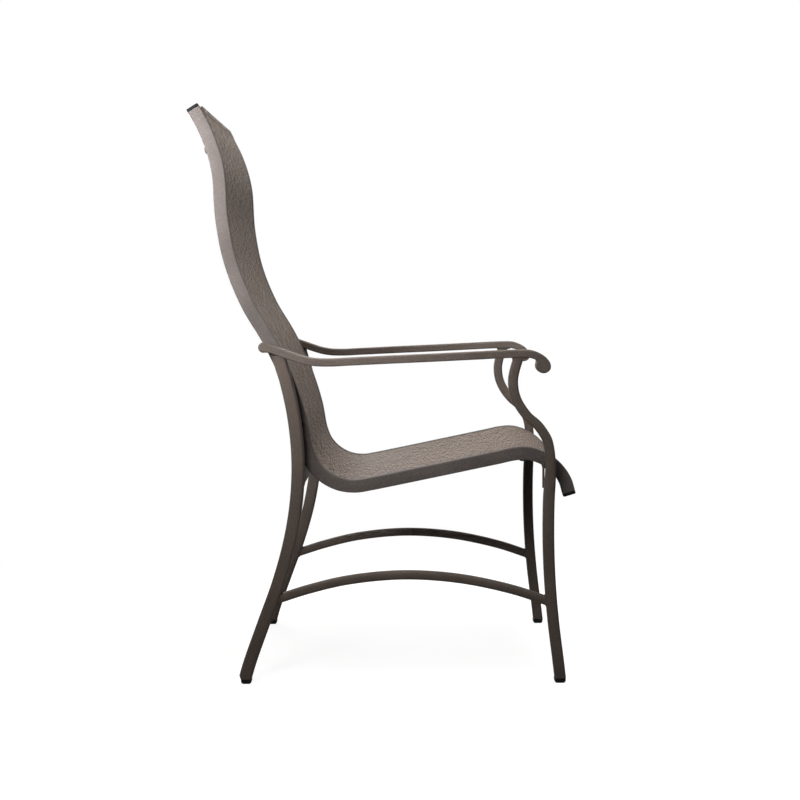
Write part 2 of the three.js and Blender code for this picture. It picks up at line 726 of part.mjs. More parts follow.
// Bolt from the rail's inner face into the leg
function makeBolt(place, side) {
  const head = railInnerFace - FIT_GAP;
  const tip = legInnerFace + BOLT_GRIP_IN_LEG;
  const profile = [
    [0, head - BOLT_HEAD_HEIGHT], [BOLT_HEAD_RADIUS * BOLT_HEAD_TOP_SHARE, head - BOLT_HEAD_HEIGHT],
    [BOLT_HEAD_RADIUS, head], [BOLT_SHANK_RADIUS, head], [BOLT_SHANK_RADIUS, tip], [0, tip],
  ];
  const bolt = turnedAcross(profile, place.y, place.z);
  if (side < 0) {
    bolt.rotateZ(Math.PI);
    bolt.translate(0, place.y * 2, 0);
  }
  return bolt;
}

function makeSpacer(place, side) {
  const near = railOuterFace + FIT_GAP;
  const far = legInnerFace - FIT_GAP;
  const bore = BOLT_SHANK_RADIUS + FIT_GAP;
  const profile = [[bore, near], [SPACER_RADIUS, near], [SPACER_RADIUS, far], [bore, far], [bore, near]];
  const spacer = turnedAcross(profile, place.y, place.z);
  if (side < 0) {
    spacer.rotateZ(Math.PI);
    spacer.translate(0, place.y * 2, 0);
  }
  return spacer;
}

// Seat bracket: a slotted plate inside the front leg, with a wing that sweeps out under the rail
function makeBracket(side) {
  const middle = depthAtHeight(sideCurve(FRONT_LEG_LINE_SHARES, 0), frontBolt.z);
  const front = middle - BRACKET_FRONT_REACH;
  const rear = middle + BRACKET_REAR_REACH;
  const top = frontBolt.z + BRACKET_RISE;
  const shape = new THREE.Shape();
  shape.moveTo(front, frontBolt.z - BRACKET_DROP);
  shape.lineTo(rear, frontBolt.z - BRACKET_DROP);
  shape.lineTo(rear, frontBolt.z);
  shape.quadraticCurveTo(rear, top - FIT_GAP, rear + BRACKET_WING, top - FIT_GAP);
  shape.lineTo(rear + BRACKET_WING, top);
  shape.lineTo(front, top);
  const slotRear = rear - BRACKET_STRAP;
  const slot = new THREE.Path();
  slot.moveTo(slotRear, frontBolt.z - BRACKET_SLOT_DROP);
  slot.lineTo(slotRear, frontBolt.z + BRACKET_SLOT_RISE);
  slot.lineTo(slotRear - BRACKET_SLOT_WIDTH, frontBolt.z + BRACKET_SLOT_RISE);
  slot.lineTo(slotRear - BRACKET_SLOT_WIDTH, frontBolt.z - BRACKET_SLOT_DROP);
  shape.holes.push(slot);
  const geometry = new THREE.ExtrudeGeometry(shape, {
    depth: RAIL_SPACING - FIT_GAP * 2,
    bevelEnabled: false,
    curveSegments: BRACKET_CURVE_STEPS,
  });
  const lay = new THREE.Matrix4().makeBasis(
    new THREE.Vector3(0, 1, 0),
    new THREE.Vector3(0, 0, 1),
    new THREE.Vector3(1, 0, 0),
  );
  geometry.applyMatrix4(lay);
  const near = railOuterFace + FIT_GAP;
  geometry.translate(side > 0 ? near : FIT_GAP - legInnerFace, 0, 0);
  const reach = BOLT_SHANK_RADIUS + FIT_GAP;
  const from = side > 0 ? railOuterFace : -legInnerFace;
  const hole = rodAcross(reach, from, from + RAIL_SPACING, frontBolt.y, frontBolt.z);
  return toSolid(geometry).subtract(toSolid(hole));
}

// Rear crossbar, centred on the rear legs
function makeCrossbar() {
  const height = CROSSBAR_RISE_SHARE * CHAIR_HEIGHT;
  const depth = depthAtHeight(sideCurve(REAR_LEG_LINE_SHARES, 0), height);
  const place = new THREE.Matrix4().makeTranslation(0, depth, height);
  const outline = roundedOutline(CROSSBAR_DEPTH, CROSSBAR_HEIGHT, CROSSBAR_CORNER);
  const bore = roundedOutline(
    CROSSBAR_DEPTH - CROSSBAR_WALL * 2,
    CROSSBAR_HEIGHT - CROSSBAR_WALL * 2,
    CROSSBAR_CORNER - CROSSBAR_WALL,
  );
  return toSolid(crossTube(outline, bore, (legInnerFace - FIT_GAP) * 2, place));
}

// The chair, piece by piece
sides.forEach(([word, side]) => {
  const legX = side * legCentre;
  const frontLine = sideCurve(FRONT_LEG_LINE_SHARES, legX);
  const rearLine = sideCurve(REAR_LEG_LINE_SHARES, legX);
  const legs = [[frontLine, frontLegDepth], [rearLine, rearLegDepth]];
  addPiece(`arm_${word}`, makeArm(legX), castPaint);
  addPiece(`front_leg_${word}`, legSolid(frontLine, frontLegDepth, legX, [frontBolt]), paint);
  addPiece(
    `rear_leg_${word}`,
    legSolid(rearLine, rearLegDepth, legX, [lowerRearBolt, upperRearBolt]),
    paint,
  );
  addPiece(`side_stretcher_${word}`, makeStretcher(legX, legs), paint);
  addPiece(`front_glide_${word}`, makeGlide(legX, frontLine, frontLegDepth), plastic);
  addPiece(`rear_glide_${word}`, makeGlide(legX, rearLine, rearLegDepth), plastic);
  addPiece(`seat_bracket_${word}`, makeBracket(side), paint);
  addPiece(`sling_rail_${word}`, makeRail(side), paint);
  addPiece(`rail_cap_front_${word}`, toSolid(makeRailCap(side, 0)), plastic);
  addPiece(`rail_cap_top_${word}`, toSolid(makeRailCap(side, 1)), plastic);
  addPiece(
    `sling_spline_${word}`,
    toSolid(sweepRail(splineShape(side), side * railCentre)),
    cord,
  );
  addPiece(`front_rail_bolt_${word}`, toSolid(makeBolt(frontBolt, side)), steel);
  addPiece(`lower_rear_rail_bolt_${word}`, toSolid(makeBolt(lowerRearBolt, side)), steel);
  addPiece(`upper_rear_rail_bolt_${word}`, toSolid(makeBolt(upperRearBolt, side)), steel);
  addPiece(`lower_rail_spacer_${word}`, toSolid(makeSpacer(lowerRearBolt, side)), plastic);
  addPiece(`upper_rail_spacer_${word}`, toSolid(makeSpacer(upperRearBolt, side)), plastic);
  addPiece(
    `seat_spreader_screw_${word}`,
    toSolid(spreaderScrew(SEAT_SPREADER_SHARE, side, 0)),
    steel,
  );
  addPiece(
    `back_spreader_screw_${word}`,
    toSolid(spreaderScrew(BACK_SPREADER_SHARE, side, 0)),
    steel,
  );
});

addPiece('rear_crossbar', makeCrossbar(), paint);
addPiece('seat_spreader_bar', makeSpreader(SEAT_SPREADER_SHARE), paint);
addPiece('back_spreader_bar', makeSpreader(BACK_SPREADER_SHARE), paint);
addPiece('sling', toSolid(sweepRail(slingShape(), 0)), weave);

export default chair;
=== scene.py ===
import math

import bmesh
import bpy
import numpy as np
from mathutils import Matrix, Vector


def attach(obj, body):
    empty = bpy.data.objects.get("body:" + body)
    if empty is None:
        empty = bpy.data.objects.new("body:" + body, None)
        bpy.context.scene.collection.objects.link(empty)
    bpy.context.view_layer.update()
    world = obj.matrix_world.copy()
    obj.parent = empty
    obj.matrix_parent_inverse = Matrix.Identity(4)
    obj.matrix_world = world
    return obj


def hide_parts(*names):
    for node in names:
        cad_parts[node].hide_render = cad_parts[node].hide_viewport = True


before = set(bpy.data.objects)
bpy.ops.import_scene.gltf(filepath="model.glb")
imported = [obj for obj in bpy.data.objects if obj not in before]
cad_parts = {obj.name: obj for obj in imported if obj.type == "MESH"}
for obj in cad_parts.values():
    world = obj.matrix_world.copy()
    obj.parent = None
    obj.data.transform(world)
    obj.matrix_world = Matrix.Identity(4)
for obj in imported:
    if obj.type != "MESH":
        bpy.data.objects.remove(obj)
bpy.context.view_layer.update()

# ---- Camera ----
# Stands at the sitter's right, a little above the arms, 3.4 m away on a 74 mm lens.
# It looks along +X and slightly down, with a third of a degree of roll.
PICTURE_SIDE, SENSOR_WIDTH, FOCAL_PIXELS = 800, 36, 1645.4
camera_place = Vector((-3.4453, -0.0622, 0.7478))
camera_yaw, camera_pitch, camera_roll = 0.00999, -0.06287, -0.00603
look = Vector((
    math.cos(camera_yaw) * math.cos(camera_pitch),
    math.sin(camera_yaw) * math.cos(camera_pitch),
    math.sin(camera_pitch),
))
level_right = look.cross(Vector((0, 0, 1))).normalized()
level_up = level_right.cross(look)
turn_cos, turn_sin = math.cos(camera_roll), math.sin(camera_roll)
picture_right = turn_cos * level_right + turn_sin * level_up
picture_up = -turn_sin * level_right + turn_cos * level_up
camera_lens = bpy.data.cameras.new("camera")
camera_lens.sensor_width = SENSOR_WIDTH
camera_lens.lens = FOCAL_PIXELS * SENSOR_WIDTH / PICTURE_SIDE
camera_lens.clip_end = 200
camera = bpy.data.objects.new("camera", camera_lens)
camera.matrix_world = Matrix.Translation(camera_place) @ Matrix(
    (picture_right, picture_up, -look)
).transposed().to_4x4()
bpy.context.collection.objects.link(camera)
bpy.context.scene.camera = camera

# ---- Front legs ----
# Flattened aluminium tube bent to an S, 30 mm wide, powder coated a warm grey-brown.
# Each is welded up under its arm and bolted to the sling rail at the height of the seat.
CHAIR_DEPTH, CHAIR_HEIGHT = 0.744, 1.112
LEG_X, LEG_WIDTH, LEG_CORNER = 0.292, 0.030, 0.0055
FRONT_LEG_DEPTH, FRONT_LEG_THINNING, FRONT_LEG_FILLET = 0.0215, 0.003, 0.007
THINNING_START, THINNING_RUN = 0.24, 0.12
ARM_THICKNESS = 0.015
GLIDE_HEIGHT = 0.010
FOOT_CUT = ((0, 0, GLIDE_HEIGHT), (0, 0, -1))
SIDES = (("left", 1), ("right", -1))
FRONT_LEG_SHARES = [
    (0.0430, -0.0090), (0.0507, 0.0360), (0.0638, 0.1080), (0.0726, 0.1800), (0.0762, 0.2520),
    (0.0748, 0.3240), (0.0710, 0.3600), (0.0708, 0.3870), (0.0731, 0.4049), (0.0793, 0.4235),
    (0.0906, 0.4374), (0.1062, 0.4508), (0.1266, 0.4624), (0.1430, 0.4758), (0.1554, 0.4896),
    (0.1632, 0.5033), (0.1667, 0.5171), (0.1668, 0.5307), (0.1629, 0.5442), (0.1569, 0.5577),
    (0.1500, 0.5720),
]
ARM_SHARES = [
    (0.8082, 0.5863), (0.7826, 0.5814), (0.7517, 0.5742), (0.7261, 0.5681), (0.7006, 0.5631),
    (0.6750, 0.5603), (0.6360, 0.5596), (0.5849, 0.5611), (0.4828, 0.5640), (0.3794, 0.5667),
    (0.2772, 0.5697), (0.1979, 0.5721), (0.1616, 0.5729), (0.1379, 0.5731), (0.1267, 0.5727),
    (0.1163, 0.5713), (0.1060, 0.5687), (0.0959, 0.5651), (0.0876, 0.5608), (0.0813, 0.5556),
    (0.0784, 0.5500),
]


def side_line(shares, stops):
    """Places (depth, height) and directions on the smooth line through a side view's points."""
    knots = (np.array(shares) - (0.5, 0)) * (CHAIR_DEPTH, CHAIR_HEIGHT)
    knots = np.vstack([2 * knots[0] - knots[1], knots, 2 * knots[-1] - knots[-2]])
    along = np.asarray(stops, float) * (len(knots) - 3)
    run = np.minimum(along.astype(int), len(knots) - 4)
    part = (along - run)[:, None]
    a, b, c, d = (knots[run + step] for step in range(4))
    ab, bc, cd = (
        np.sqrt(np.linalg.norm(q - p, axis=1))[:, None] for p, q in ((a, b), (b, c), (c, d))
    )
    leave = bc * ((b - a) / ab - (c - a) / (ab + bc) + (c - b) / bc)
    arrive = bc * ((c - b) / bc - (d - b) / (bc + cd) + (d - c) / cd)
    square = 3 * (c - b) - 2 * leave - arrive
    cube = 2 * (b - c) + leave + arrive
    place = b + part * (leave + part * (square + part * cube))
    way = leave + part * (2 * square + 3 * part * cube)
    return place, way / np.linalg.norm(way, axis=1)[:, None]


def rounded_bar(width, depth, corner, steps=6):
    """Outline of a bar with rounded edges, points (across, deep)."""
    points = []
    for quarter, (a, b) in enumerate(((1, 1), (-1, 1), (-1, -1), (1, -1))):
        for turn in np.linspace(quarter, quarter + 1, steps) * math.pi / 2:
            points.append((
                a * (width / 2 - corner) + corner * math.cos(turn),
                b * (depth / 2 - corner) + corner * math.sin(turn),
            ))
    return np.array(points)


def square_ring(ring, x, place, way):
    """A ring of points set square to a way, at a place on a side line."""
    return np.column_stack([
        x + ring[:, 0], place[0] - way[1] * ring[:, 1], place[1] + way[0] * ring[:, 1],
    ])


def bent_rings(shares, stops, outline_at, x):
    """Rings set square to a side line, one for each stop."""
    return [
        square_ring(outline_at(stop), x, place, way)
        for stop, place, way in zip(stops, *side_line(shares, stops))
    ]


def skin(rings):
    """Vertices and faces of a closed form through rings that have the same number of points."""
    count = len(rings[0])
    faces = []
    for row in range(len(rings) - 1):
        for i in range(count):
            j = (i + 1) % count
            faces.append((
                row * count + i, row * count + j, (row + 1) * count + j, (row + 1) * count + i,
            ))
    faces.append(tuple(range(count))[::-1])
    faces.append(tuple(range((len(rings) - 1) * count, len(rings) * count)))
    return np.vstack(rings), faces


def fit_piece(name, verts, faces, finish, slot, nodes=(), crease=35, cuts=()):
    """Makes one piece, smooth up to the crease angle and cut off at planes, on the chair."""
    mesh = bpy.data.meshes.new(name)
    mesh.from_pydata([tuple(map(float, v)) for v in verts], [], faces)
    made = bmesh.new()
    made.from_mesh(mesh)
    for place, facing in cuts:
        sliced = bmesh.ops.bisect_plane(
            made, geom=made.verts[:] + made.edges[:] + made.faces[:],
            plane_co=place, plane_no=facing, clear_outer=True,
        )
        rim = [e for e in sliced["geom_cut"] if isinstance(e, bmesh.types.BMEdge)]
        bmesh.ops.edgeloop_fill(made, edges=rim)
    bmesh.ops.recalc_face_normals(made, faces=made.faces[:])
    for face in made.faces:
        face.smooth = True
    for edge in made.edges:
        edge.smooth = edge.calc_face_angle(0) < math.radians(crease)
    made.to_mesh(mesh)
    made.free()
    mesh.materials.append(finish)
    piece = bpy.data.objects.new(name, mesh)
    bpy.context.collection.objects.link(piece)
    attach(piece, "root")
    if nodes:
        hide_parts(*nodes)
    return piece


def put_node(tree, kind, feeds=None, **settings):
    """Adds a node, sets its properties, and links or sets its inputs."""
    node = tree.nodes.new(kind)
    for key, value in settings.items():
        setattr(node, key, value)
    for socket, value in (feeds or {}).items():
        if isinstance(value, bpy.types.NodeSocket):
            tree.links.new(value, node.inputs[socket])
        else:
            node.inputs[socket].default_value = value
    return node


def effect_group(name, inputs, outputs):
    """Starts a node group with named sockets: the tree, its input node and its output node."""
    tree = bpy.data.node_groups.new(name, "ShaderNodeTree")
    for label, kind, value in inputs:
        socket = tree.interface.new_socket(name=label, in_out="INPUT", socket_type=kind)
        socket.default_value = value
    for label, kind in outputs:
        tree.interface.new_socket(name=label, in_out="OUTPUT", socket_type=kind)
    return tree, tree.nodes.new("NodeGroupInput"), tree.nodes.new("NodeGroupOutput")


def math_of(tree, operation, *values):
    """One Math node's result."""
    return put_node(
        tree, "ShaderNodeMath", dict(enumerate(values)), operation=operation
    ).outputs[0]


def blend_of(tree, share, first, second, blend="MIX"):
    """One colour mix's result."""
    return put_node(
        tree, "ShaderNodeMix", {0: share, 6: first, 7: second}, data_type="RGBA", blend_type=blend
    ).outputs[2]


def range_of(tree, value, source=(0, 1), target=(0, 1)):
    """A value carried from one range to another and held inside it."""
    return put_node(tree, "ShaderNodeMapRange", {
        "Value": value, "From Min": source[0], "From Max": source[1],
        "To Min": target[0], "To Max": target[1],
    }).outputs[0]


COLOR, FLOAT = "NodeSocketColor", "NodeSocketFloat"
# Pale colour that faces looking up are lightened towards: dust, and painted light from above.
DUST_AND_TOP_LIGHT_COLOR = (0.42, 0.38, 0.34, 1)
baked_coat, given, given_out = effect_group(
    "baked_powder_coat",
    (
        ("Paint", COLOR, (0.1, 0.078, 0.066, 1)), ("Fleck", COLOR, (0.16, 0.13, 0.12, 1)),
        ("Grain Scale", FLOAT, 900), ("Fleck Share", FLOAT, 0.35), ("Dust And Top Light", FLOAT, 0.1),
    ),
    (("Color", COLOR), ("Roughness", FLOAT), ("Height", FLOAT)),
)
spot = put_node(baked_coat, "ShaderNodeTexCoord").outputs["Object"]
peel = put_node(baked_coat, "ShaderNodeTexNoise", {
    "Vector": spot, "Scale": given.outputs["Grain Scale"], "Detail": 3, "Roughness": 0.6,
})
fleck = put_node(baked_coat, "ShaderNodeTexNoise", {
    "Vector": spot, "Scale": math_of(baked_coat, "MULTIPLY", given.outputs["Grain Scale"], 0.6),
    "Detail": 1,
})
cloud = put_node(baked_coat, "ShaderNodeTexNoise", {"Vector": spot, "Scale": 11, "Detail": 3})
fleck_mask = range_of(
    baked_coat, fleck.outputs[0], (0.52, 0.68), (0, given.outputs["Fleck Share"])
)
cloud_mask = range_of(baked_coat, cloud.outputs[0], (0.3, 0.7), (0.86, 1.1))
facing = put_node(baked_coat, "ShaderNodeSeparateXYZ", {
    "Vector": put_node(baked_coat, "ShaderNodeNewGeometry").outputs["Normal"],
}).outputs["Z"]
# Faces that look up are lightened towards the pale colour, more where the cloud is: dust, and
# painted light from above.
dust_and_top_light_mask = math_of(
    baked_coat, "MULTIPLY",
    math_of(baked_coat, "MULTIPLY", math_of(baked_coat, "MAXIMUM", facing, 0.0), cloud_mask),
    given.outputs["Dust And Top Light"],
)
flecked = blend_of(baked_coat, fleck_mask, given.outputs["Paint"], given.outputs["Fleck"])
clouded = blend_of(baked_coat, 1.0, flecked, cloud_mask, "MULTIPLY")
dusted_and_top_lit = blend_of(baked_coat, dust_and_top_light_mask, clouded, DUST_AND_TOP_LIGHT_COLOR)
coat_roughness = range_of(baked_coat, peel.outputs[0], (0.3, 0.7), (0.56, 0.7))
baked_coat.links.new(dusted_and_top_lit, given_out.inputs["Color"])
baked_coat.links.new(coat_roughness, given_out.inputs["Roughness"])
baked_coat.links.new(peel.outputs[0], given_out.inputs["Height"])


def finish_tree(name):
    """Starts a finish: the material and its node tree."""
    finish = bpy.data.materials.new(name)
    finish.use_nodes = True
    return finish, finish.node_tree


def lead_to_shader(tree, color, roughness, height, relief, depth, gloss):
    """Leads a finish's colour, roughness and relief to its shader and sets its gloss."""
    shader = tree.nodes["Principled BSDF"]
    bump = put_node(tree, "ShaderNodeBump", {
        "Strength": relief, "Distance": depth, "Height": height,
    })
    tree.links.new(color, shader.inputs["Base Color"])
    tree.links.new(roughness, shader.inputs["Roughness"])
    tree.links.new(bump.outputs[0], shader.inputs["Normal"])
    shader.inputs["Specular IOR Level"].default_value = gloss


def coated_metal(name, paint, fleck_color, dust_and_top_light=0.04, grain=900, fleck_share=0.35):
    """A powder-coated metal finish from the shared coat group."""
    finish, tree = finish_tree(name)
    coat = put_node(tree, "ShaderNodeGroup", {
        "Paint": (*paint, 1), "Fleck": (*fleck_color, 1), "Grain Scale": grain,
        "Fleck Share": fleck_share, "Dust And Top Light": dust_and_top_light,
    }, node_tree=baked_coat).outputs
    lead_to_shader(
        tree, coat["Color"], coat["Roughness"], coat["Height"], relief=0.06, depth=0.0006,
        gloss=0.05,
    )
    return finish


leg_coat = coated_metal("leg_powder_coat", (0.074, 0.058, 0.049), (0.13, 0.106, 0.094))


def leg_stops():
    """Stops along a leg, closer together where it meets the arm."""
    return np.concatenate([np.linspace(0, 0.90, 150), np.linspace(0.903, 1, 50)])


def fillet_under_arm(rings, radius):
    """Spreads the top of a leg into a fillet against the underside of the arm."""
    arm_line, _ = side_line(ARM_SHARES, np.linspace(0, 1, 500))
    for ring in rings:
        middle = ring[:, 1:].mean(axis=0)
        reach = ring[:, 1:] - middle
        length = np.linalg.norm(reach, axis=1)[:, None]
        apart = np.linalg.norm(ring[:, None, 1:] - arm_line, axis=2).min(axis=1)
        near = np.clip(1 - (apart - ARM_THICKNESS / 2) / radius, 0, 1)[:, None]
        ring[:, 1:] += reach / length * radius * (1 - np.sqrt(1 - near * near))
    return rings


def eased(value):
    """A value held between 0 and 1 and eased at both ends."""
    part = np.clip(value, 0, 1)
    return part * part * (3 - 2 * part)


def front_leg_outline(stop):
    """The tube is drawn a little thinner above its lower straight."""
    thinning = FRONT_LEG_THINNING * eased((stop - THINNING_START) / THINNING_RUN)
    return rounded_bar(LEG_WIDTH, FRONT_LEG_DEPTH - thinning, LEG_CORNER)


for word, side in SIDES:
    rings = bent_rings(FRONT_LEG_SHARES, leg_stops(), front_leg_outline, side * LEG_X)
    fit_piece(
        f"front_leg_tube_{word}", *skin(fillet_under_arm(rings, FRONT_LEG_FILLET)), leg_coat,
        "frame_paint", (f"front_leg_{word}",), cuts=[FOOT_CUT],
    )

# ---- Rear legs ----
# The same tube, deeper, with a sweep to the back at the foot and at the arm.
# The rear crossbar and the side stretchers are welded between the legs.
REAR_LEG_DEPTH, REAR_LEG_FILLET = 0.0245, 0.0025
REAR_FOOT_CUT = ((0, 0.2803, GLIDE_HEIGHT), (0, 0.935, -0.355))
rear_leg_ring = rounded_bar(LEG_WIDTH, REAR_LEG_DEPTH, LEG_CORNER)
REAR_LEG_SHARES = [
    (0.8745, -0.0090), (0.8546, 0.0362), (0.8158, 0.1079), (0.7765, 0.1796), (0.7462, 0.2515),
    (0.7282, 0.3237), (0.7238, 0.3957), (0.7335, 0.4674), (0.7531, 0.5304), (0.7633, 0.5528),
    (0.7708, 0.5730),
]

for word, side in SIDES:
    rings = bent_rings(REAR_LEG_SHARES, leg_stops(), lambda stop: rear_leg_ring, side * LEG_X)
    fit_piece(
        f"rear_leg_tube_{word}", *skin(fillet_under_arm(rings, REAR_LEG_FILLET)), leg_coat,
        "frame_paint", (f"rear_leg_{word}",), cuts=[FOOT_CUT, REAR_FOOT_CUT],
    )

# ---- Foot glides ----
# Black moulded nylon feet with a plug that is pressed into the end of each leg.
# Only the level foot shows, rounded where it meets the floor.
GLIDE_WIDTH, GLIDE_CORNER = 0.027, 0.005
GLIDES = (
    ("front", FRONT_LEG_SHARES, 0.0220, 0.0005), ("rear", REAR_LEG_SHARES, 0.0205, -0.0024),
)
GLIDE_STEPS = (
    (0, 0.0046), (0.0003, 0.0036), (0.0009, 0.0025), (0.0018, 0.0014), (0.0030, 0.0006),
    (0.0045, 0.0001), (0.0060, 0), (0.0086, 0), (0.0093, 0.0004), (0.0097, 0.0012),
)


def moulded_nylon(name, color, grain, relief):
    """Matt dark plastic with a fine spark-eroded grain and a few rubbed spots."""
    finish, tree = finish_tree(name)
    at = put_node(tree, "ShaderNodeTexCoord").outputs["Object"]
    pits = put_node(tree, "ShaderNodeTexNoise", {
        "Vector": at, "Scale": grain, "Detail": 4,
    }).outputs[0]
    rubs = put_node(tree, "ShaderNodeTexNoise", {
        "Vector": at, "Scale": 60, "Detail": 5,
    }).outputs[0]
    worn = tuple(0.005 + 2.2 * c for c in color)
    rubbed = blend_of(
        tree, range_of(tree, rubs, (0.45, 0.75), (0, 0.6)), (*color, 1), (*worn, 1)
    )
    lead_to_shader(
        tree, rubbed, range_of(tree, pits, (0.3, 0.7), (0.5, 0.68)), pits, relief,
        depth=0.0004, gloss=0.06,
    )
    return finish


glide_nylon = moulded_nylon("glide_nylon", (0.005, 0.005, 0.005), 1400, 0.25)


def line_depth_at(shares, height):
    """Depth at which a side line crosses a height."""
    place, _ = side_line(shares, np.linspace(0, 1, 4001))
    return float(place[np.argmin(abs(place[:, 1] - height)), 0])


for word, side in SIDES:
    for end, shares, glide_depth, offset in GLIDES:
        depth = line_depth_at(shares, GLIDE_HEIGHT) + offset
        rings = []
        for height, inset in GLIDE_STEPS:
            ring = rounded_bar(
                GLIDE_WIDTH - inset * 2, glide_depth - inset * 2, GLIDE_CORNER - inset
            )
            rings.append(np.column_stack([
                side * LEG_X + ring[:, 0], depth + ring[:, 1], np.full(len(ring), height),
            ]))
        fit_piece(
            f"{end}_foot_glide_{word}", *skin(rings), glide_nylon, "black_plastic",
            (f"{end}_glide_{word}",), crease=60,
        )

# ---- Arms ----
# One aluminium casting each, flat on its sides with eased edges, a knob behind the rear leg
# and a rolled scroll in front. The legs are welded under it and it carries the same coat.
ARM_WIDTH, ARM_EASE = 0.036, 0.0048
NECK_THICKNESS, NECK_START = 0.0125, 0.8
SCROLL_RADIUS, KNOB_RADIUS, JOINT_BLEND = 0.0148, 0.0102, 0.005
SCROLL_SHARES = (0.0897, 0.5526)
arm_coat = coated_metal(
    "arm_powder_coat", (0.080, 0.064, 0.055), (0.14, 0.115, 0.102), dust_and_top_light=0.04, grain=820
)


def arc(centre, radius, start, stop, step=5):
    """Points on a circle, angles in degrees, both ends left out."""
    count = max(3, int(abs(stop - start) / step))
    turns = np.radians(np.linspace(start, stop, count)[1:-1])
    return centre + radius * np.column_stack([np.cos(turns), np.sin(turns)])


def bearing(point, centre):
    """Direction from a centre to a point in the side view, 0 to 360 degrees."""
    return math.degrees(math.atan2(point[1] - centre[1], point[0] - centre[0])) % 360


def arm_outline():
    """Closed outline of the arm in the side view, points (depth, height)."""
    stops = np.linspace(0, 1, 170)
    place, way = side_line(ARM_SHARES, stops)
    above = np.column_stack([way[:, 1], -way[:, 0]])
    taper = np.clip((stops - NECK_START) / (1 - NECK_START), 0, 1)[:, None]
    half = (ARM_THICKNESS + (NECK_THICKNESS - ARM_THICKNESS) * taper) / 2
    upper, lower = place + above * half, place - above * half
    scroll = (np.array(SCROLL_SHARES) - (0.5, 0)) * (CHAIR_DEPTH, CHAIR_HEIGHT)
    knob = place[0]
    upper = upper[np.linalg.norm(upper - knob, axis=1) > KNOB_RADIUS]
    lower = lower[np.linalg.norm(lower - knob, axis=1) > KNOB_RADIUS]
    first_in = np.argmax(np.linalg.norm(lower - scroll, axis=1) < SCROLL_RADIUS)
    lower = lower[:first_in]
    outline = np.vstack([
        upper,
        arc(scroll, SCROLL_RADIUS, bearing(upper[-1], scroll), bearing(lower[-1], scroll) + 360),
        lower[::-1],
        arc(knob, KNOB_RADIUS, bearing(lower[0], knob) - 360, bearing(upper[0], knob)),
    ])
    joints = (upper[0], upper[-1], lower[-1], lower[0])
    apart = np.min([np.linalg.norm(outline - joint, axis=1) for joint in joints], axis=0)
    near = apart < JOINT_BLEND
    for _ in range(14):
        mean = (np.roll(outline, 1, 0) + np.roll(outline, -1, 0)) / 2
        outline[near] = (outline[near] + mean[near]) / 2
    return outline


def upright_ring(ring, x, y=0, z=0):
    """A ring of points (depth, height) that stands in the side view's plane."""
    return np.column_stack([np.full(len(ring), x), y + ring[:, 0], z + ring[:, 1]])


def ease_edges(piece, width, steps):
    """Rounds a piece's sharp edges."""
    ease = piece.modifiers.new("eased edges", "BEVEL")
    ease.width = width
    ease.segments = steps
    ease.limit_method = "ANGLE"
    ease.angle_limit = math.radians(50)
    ease.harden_normals = True


for word, side in SIDES:
    outline = arm_outline()
    rings = [
        upright_ring(outline, side * LEG_X + x) for x in (-ARM_WIDTH / 2, ARM_WIDTH / 2)
    ]
    casting = fit_piece(
        f"arm_casting_{word}", *skin(rings), arm_coat, "frame_paint", (f"arm_{word}",)
    )
    ease_edges(casting, ARM_EASE, 6)

# ---- Side stretchers ----
# Light oval tubes arched between the front and rear leg on each side.
# Their ends are coped to the legs and welded all round.
STRETCHER_SHARES = [
    (0.0706, 0.1408), (0.1694, 0.1629), (0.3078, 0.1827), (0.4530, 0.1894), (0.5941, 0.1811),
    (0.6962, 0.1656), (0.7950, 0.1448),
]
STRETCHER_WIDTH, STRETCHER_DEPTH, STRETCHER_CORNER = 0.020, 0.0175, 0.0062
STRETCHER_WELDS = (
    ("front", 0.03, FRONT_LEG_SHARES, FRONT_LEG_DEPTH, 1),
    ("rear", 0.97, REAR_LEG_SHARES, REAR_LEG_DEPTH, -1),
)
BEAD_RADIUS, BEAD_RIPPLE, BEAD_SWELL = 0.0018, 0.0027, 0.13
BEAD_STEP, BEAD_SIDES = 0.0006, 8
stretcher_ring = rounded_bar(STRETCHER_WIDTH, STRETCHER_DEPTH, STRETCHER_CORNER)


def run_along(points):
    """Length along a line at each of its points."""
    return np.concatenate([[0], np.cumsum(np.linalg.norm(np.diff(points, axis=0), axis=1))])


def weld_bead(name, rim):
    """A rippled bead of weld along a closed rim."""
    closed = np.vstack([rim, rim[:1]])
    run = run_along(closed)
    at = np.linspace(0, run[-1], int(run[-1] / BEAD_STEP), endpoint=False)
    line = np.column_stack([np.interp(at, run, closed[:, axis]) for axis in range(3)])
    ahead = np.roll(line, -1, 0) - np.roll(line, 1, 0)
    ahead /= np.linalg.norm(ahead, axis=1)[:, None]
    out = line - line.mean(axis=0)
    out -= (out * ahead).sum(axis=1)[:, None] * ahead
    out /= np.linalg.norm(out, axis=1)[:, None]
    beyond = np.cross(ahead, out)
    ripples = round(run[-1] / BEAD_RIPPLE)
    radius = BEAD_RADIUS * (1 + BEAD_SWELL * np.sin(2 * math.pi * ripples * at / run[-1]))
    verts, faces = [], []
    for turn in np.linspace(0, 2 * math.pi, BEAD_SIDES, endpoint=False):
        verts.append(line + radius[:, None] * (math.cos(turn) * out + math.sin(turn) * beyond))
    for a in range(BEAD_SIDES):
        b = (a + 1) % BEAD_SIDES
        for i in range(len(line)):
            j = (i + 1) % len(line)
            faces.append(tuple(p * len(line) + q for p, q in ((a, i), (a, j), (b, j), (b, i))))
    return fit_piece(name, np.vstack(verts), faces, leg_coat, "frame_paint", crease=60)


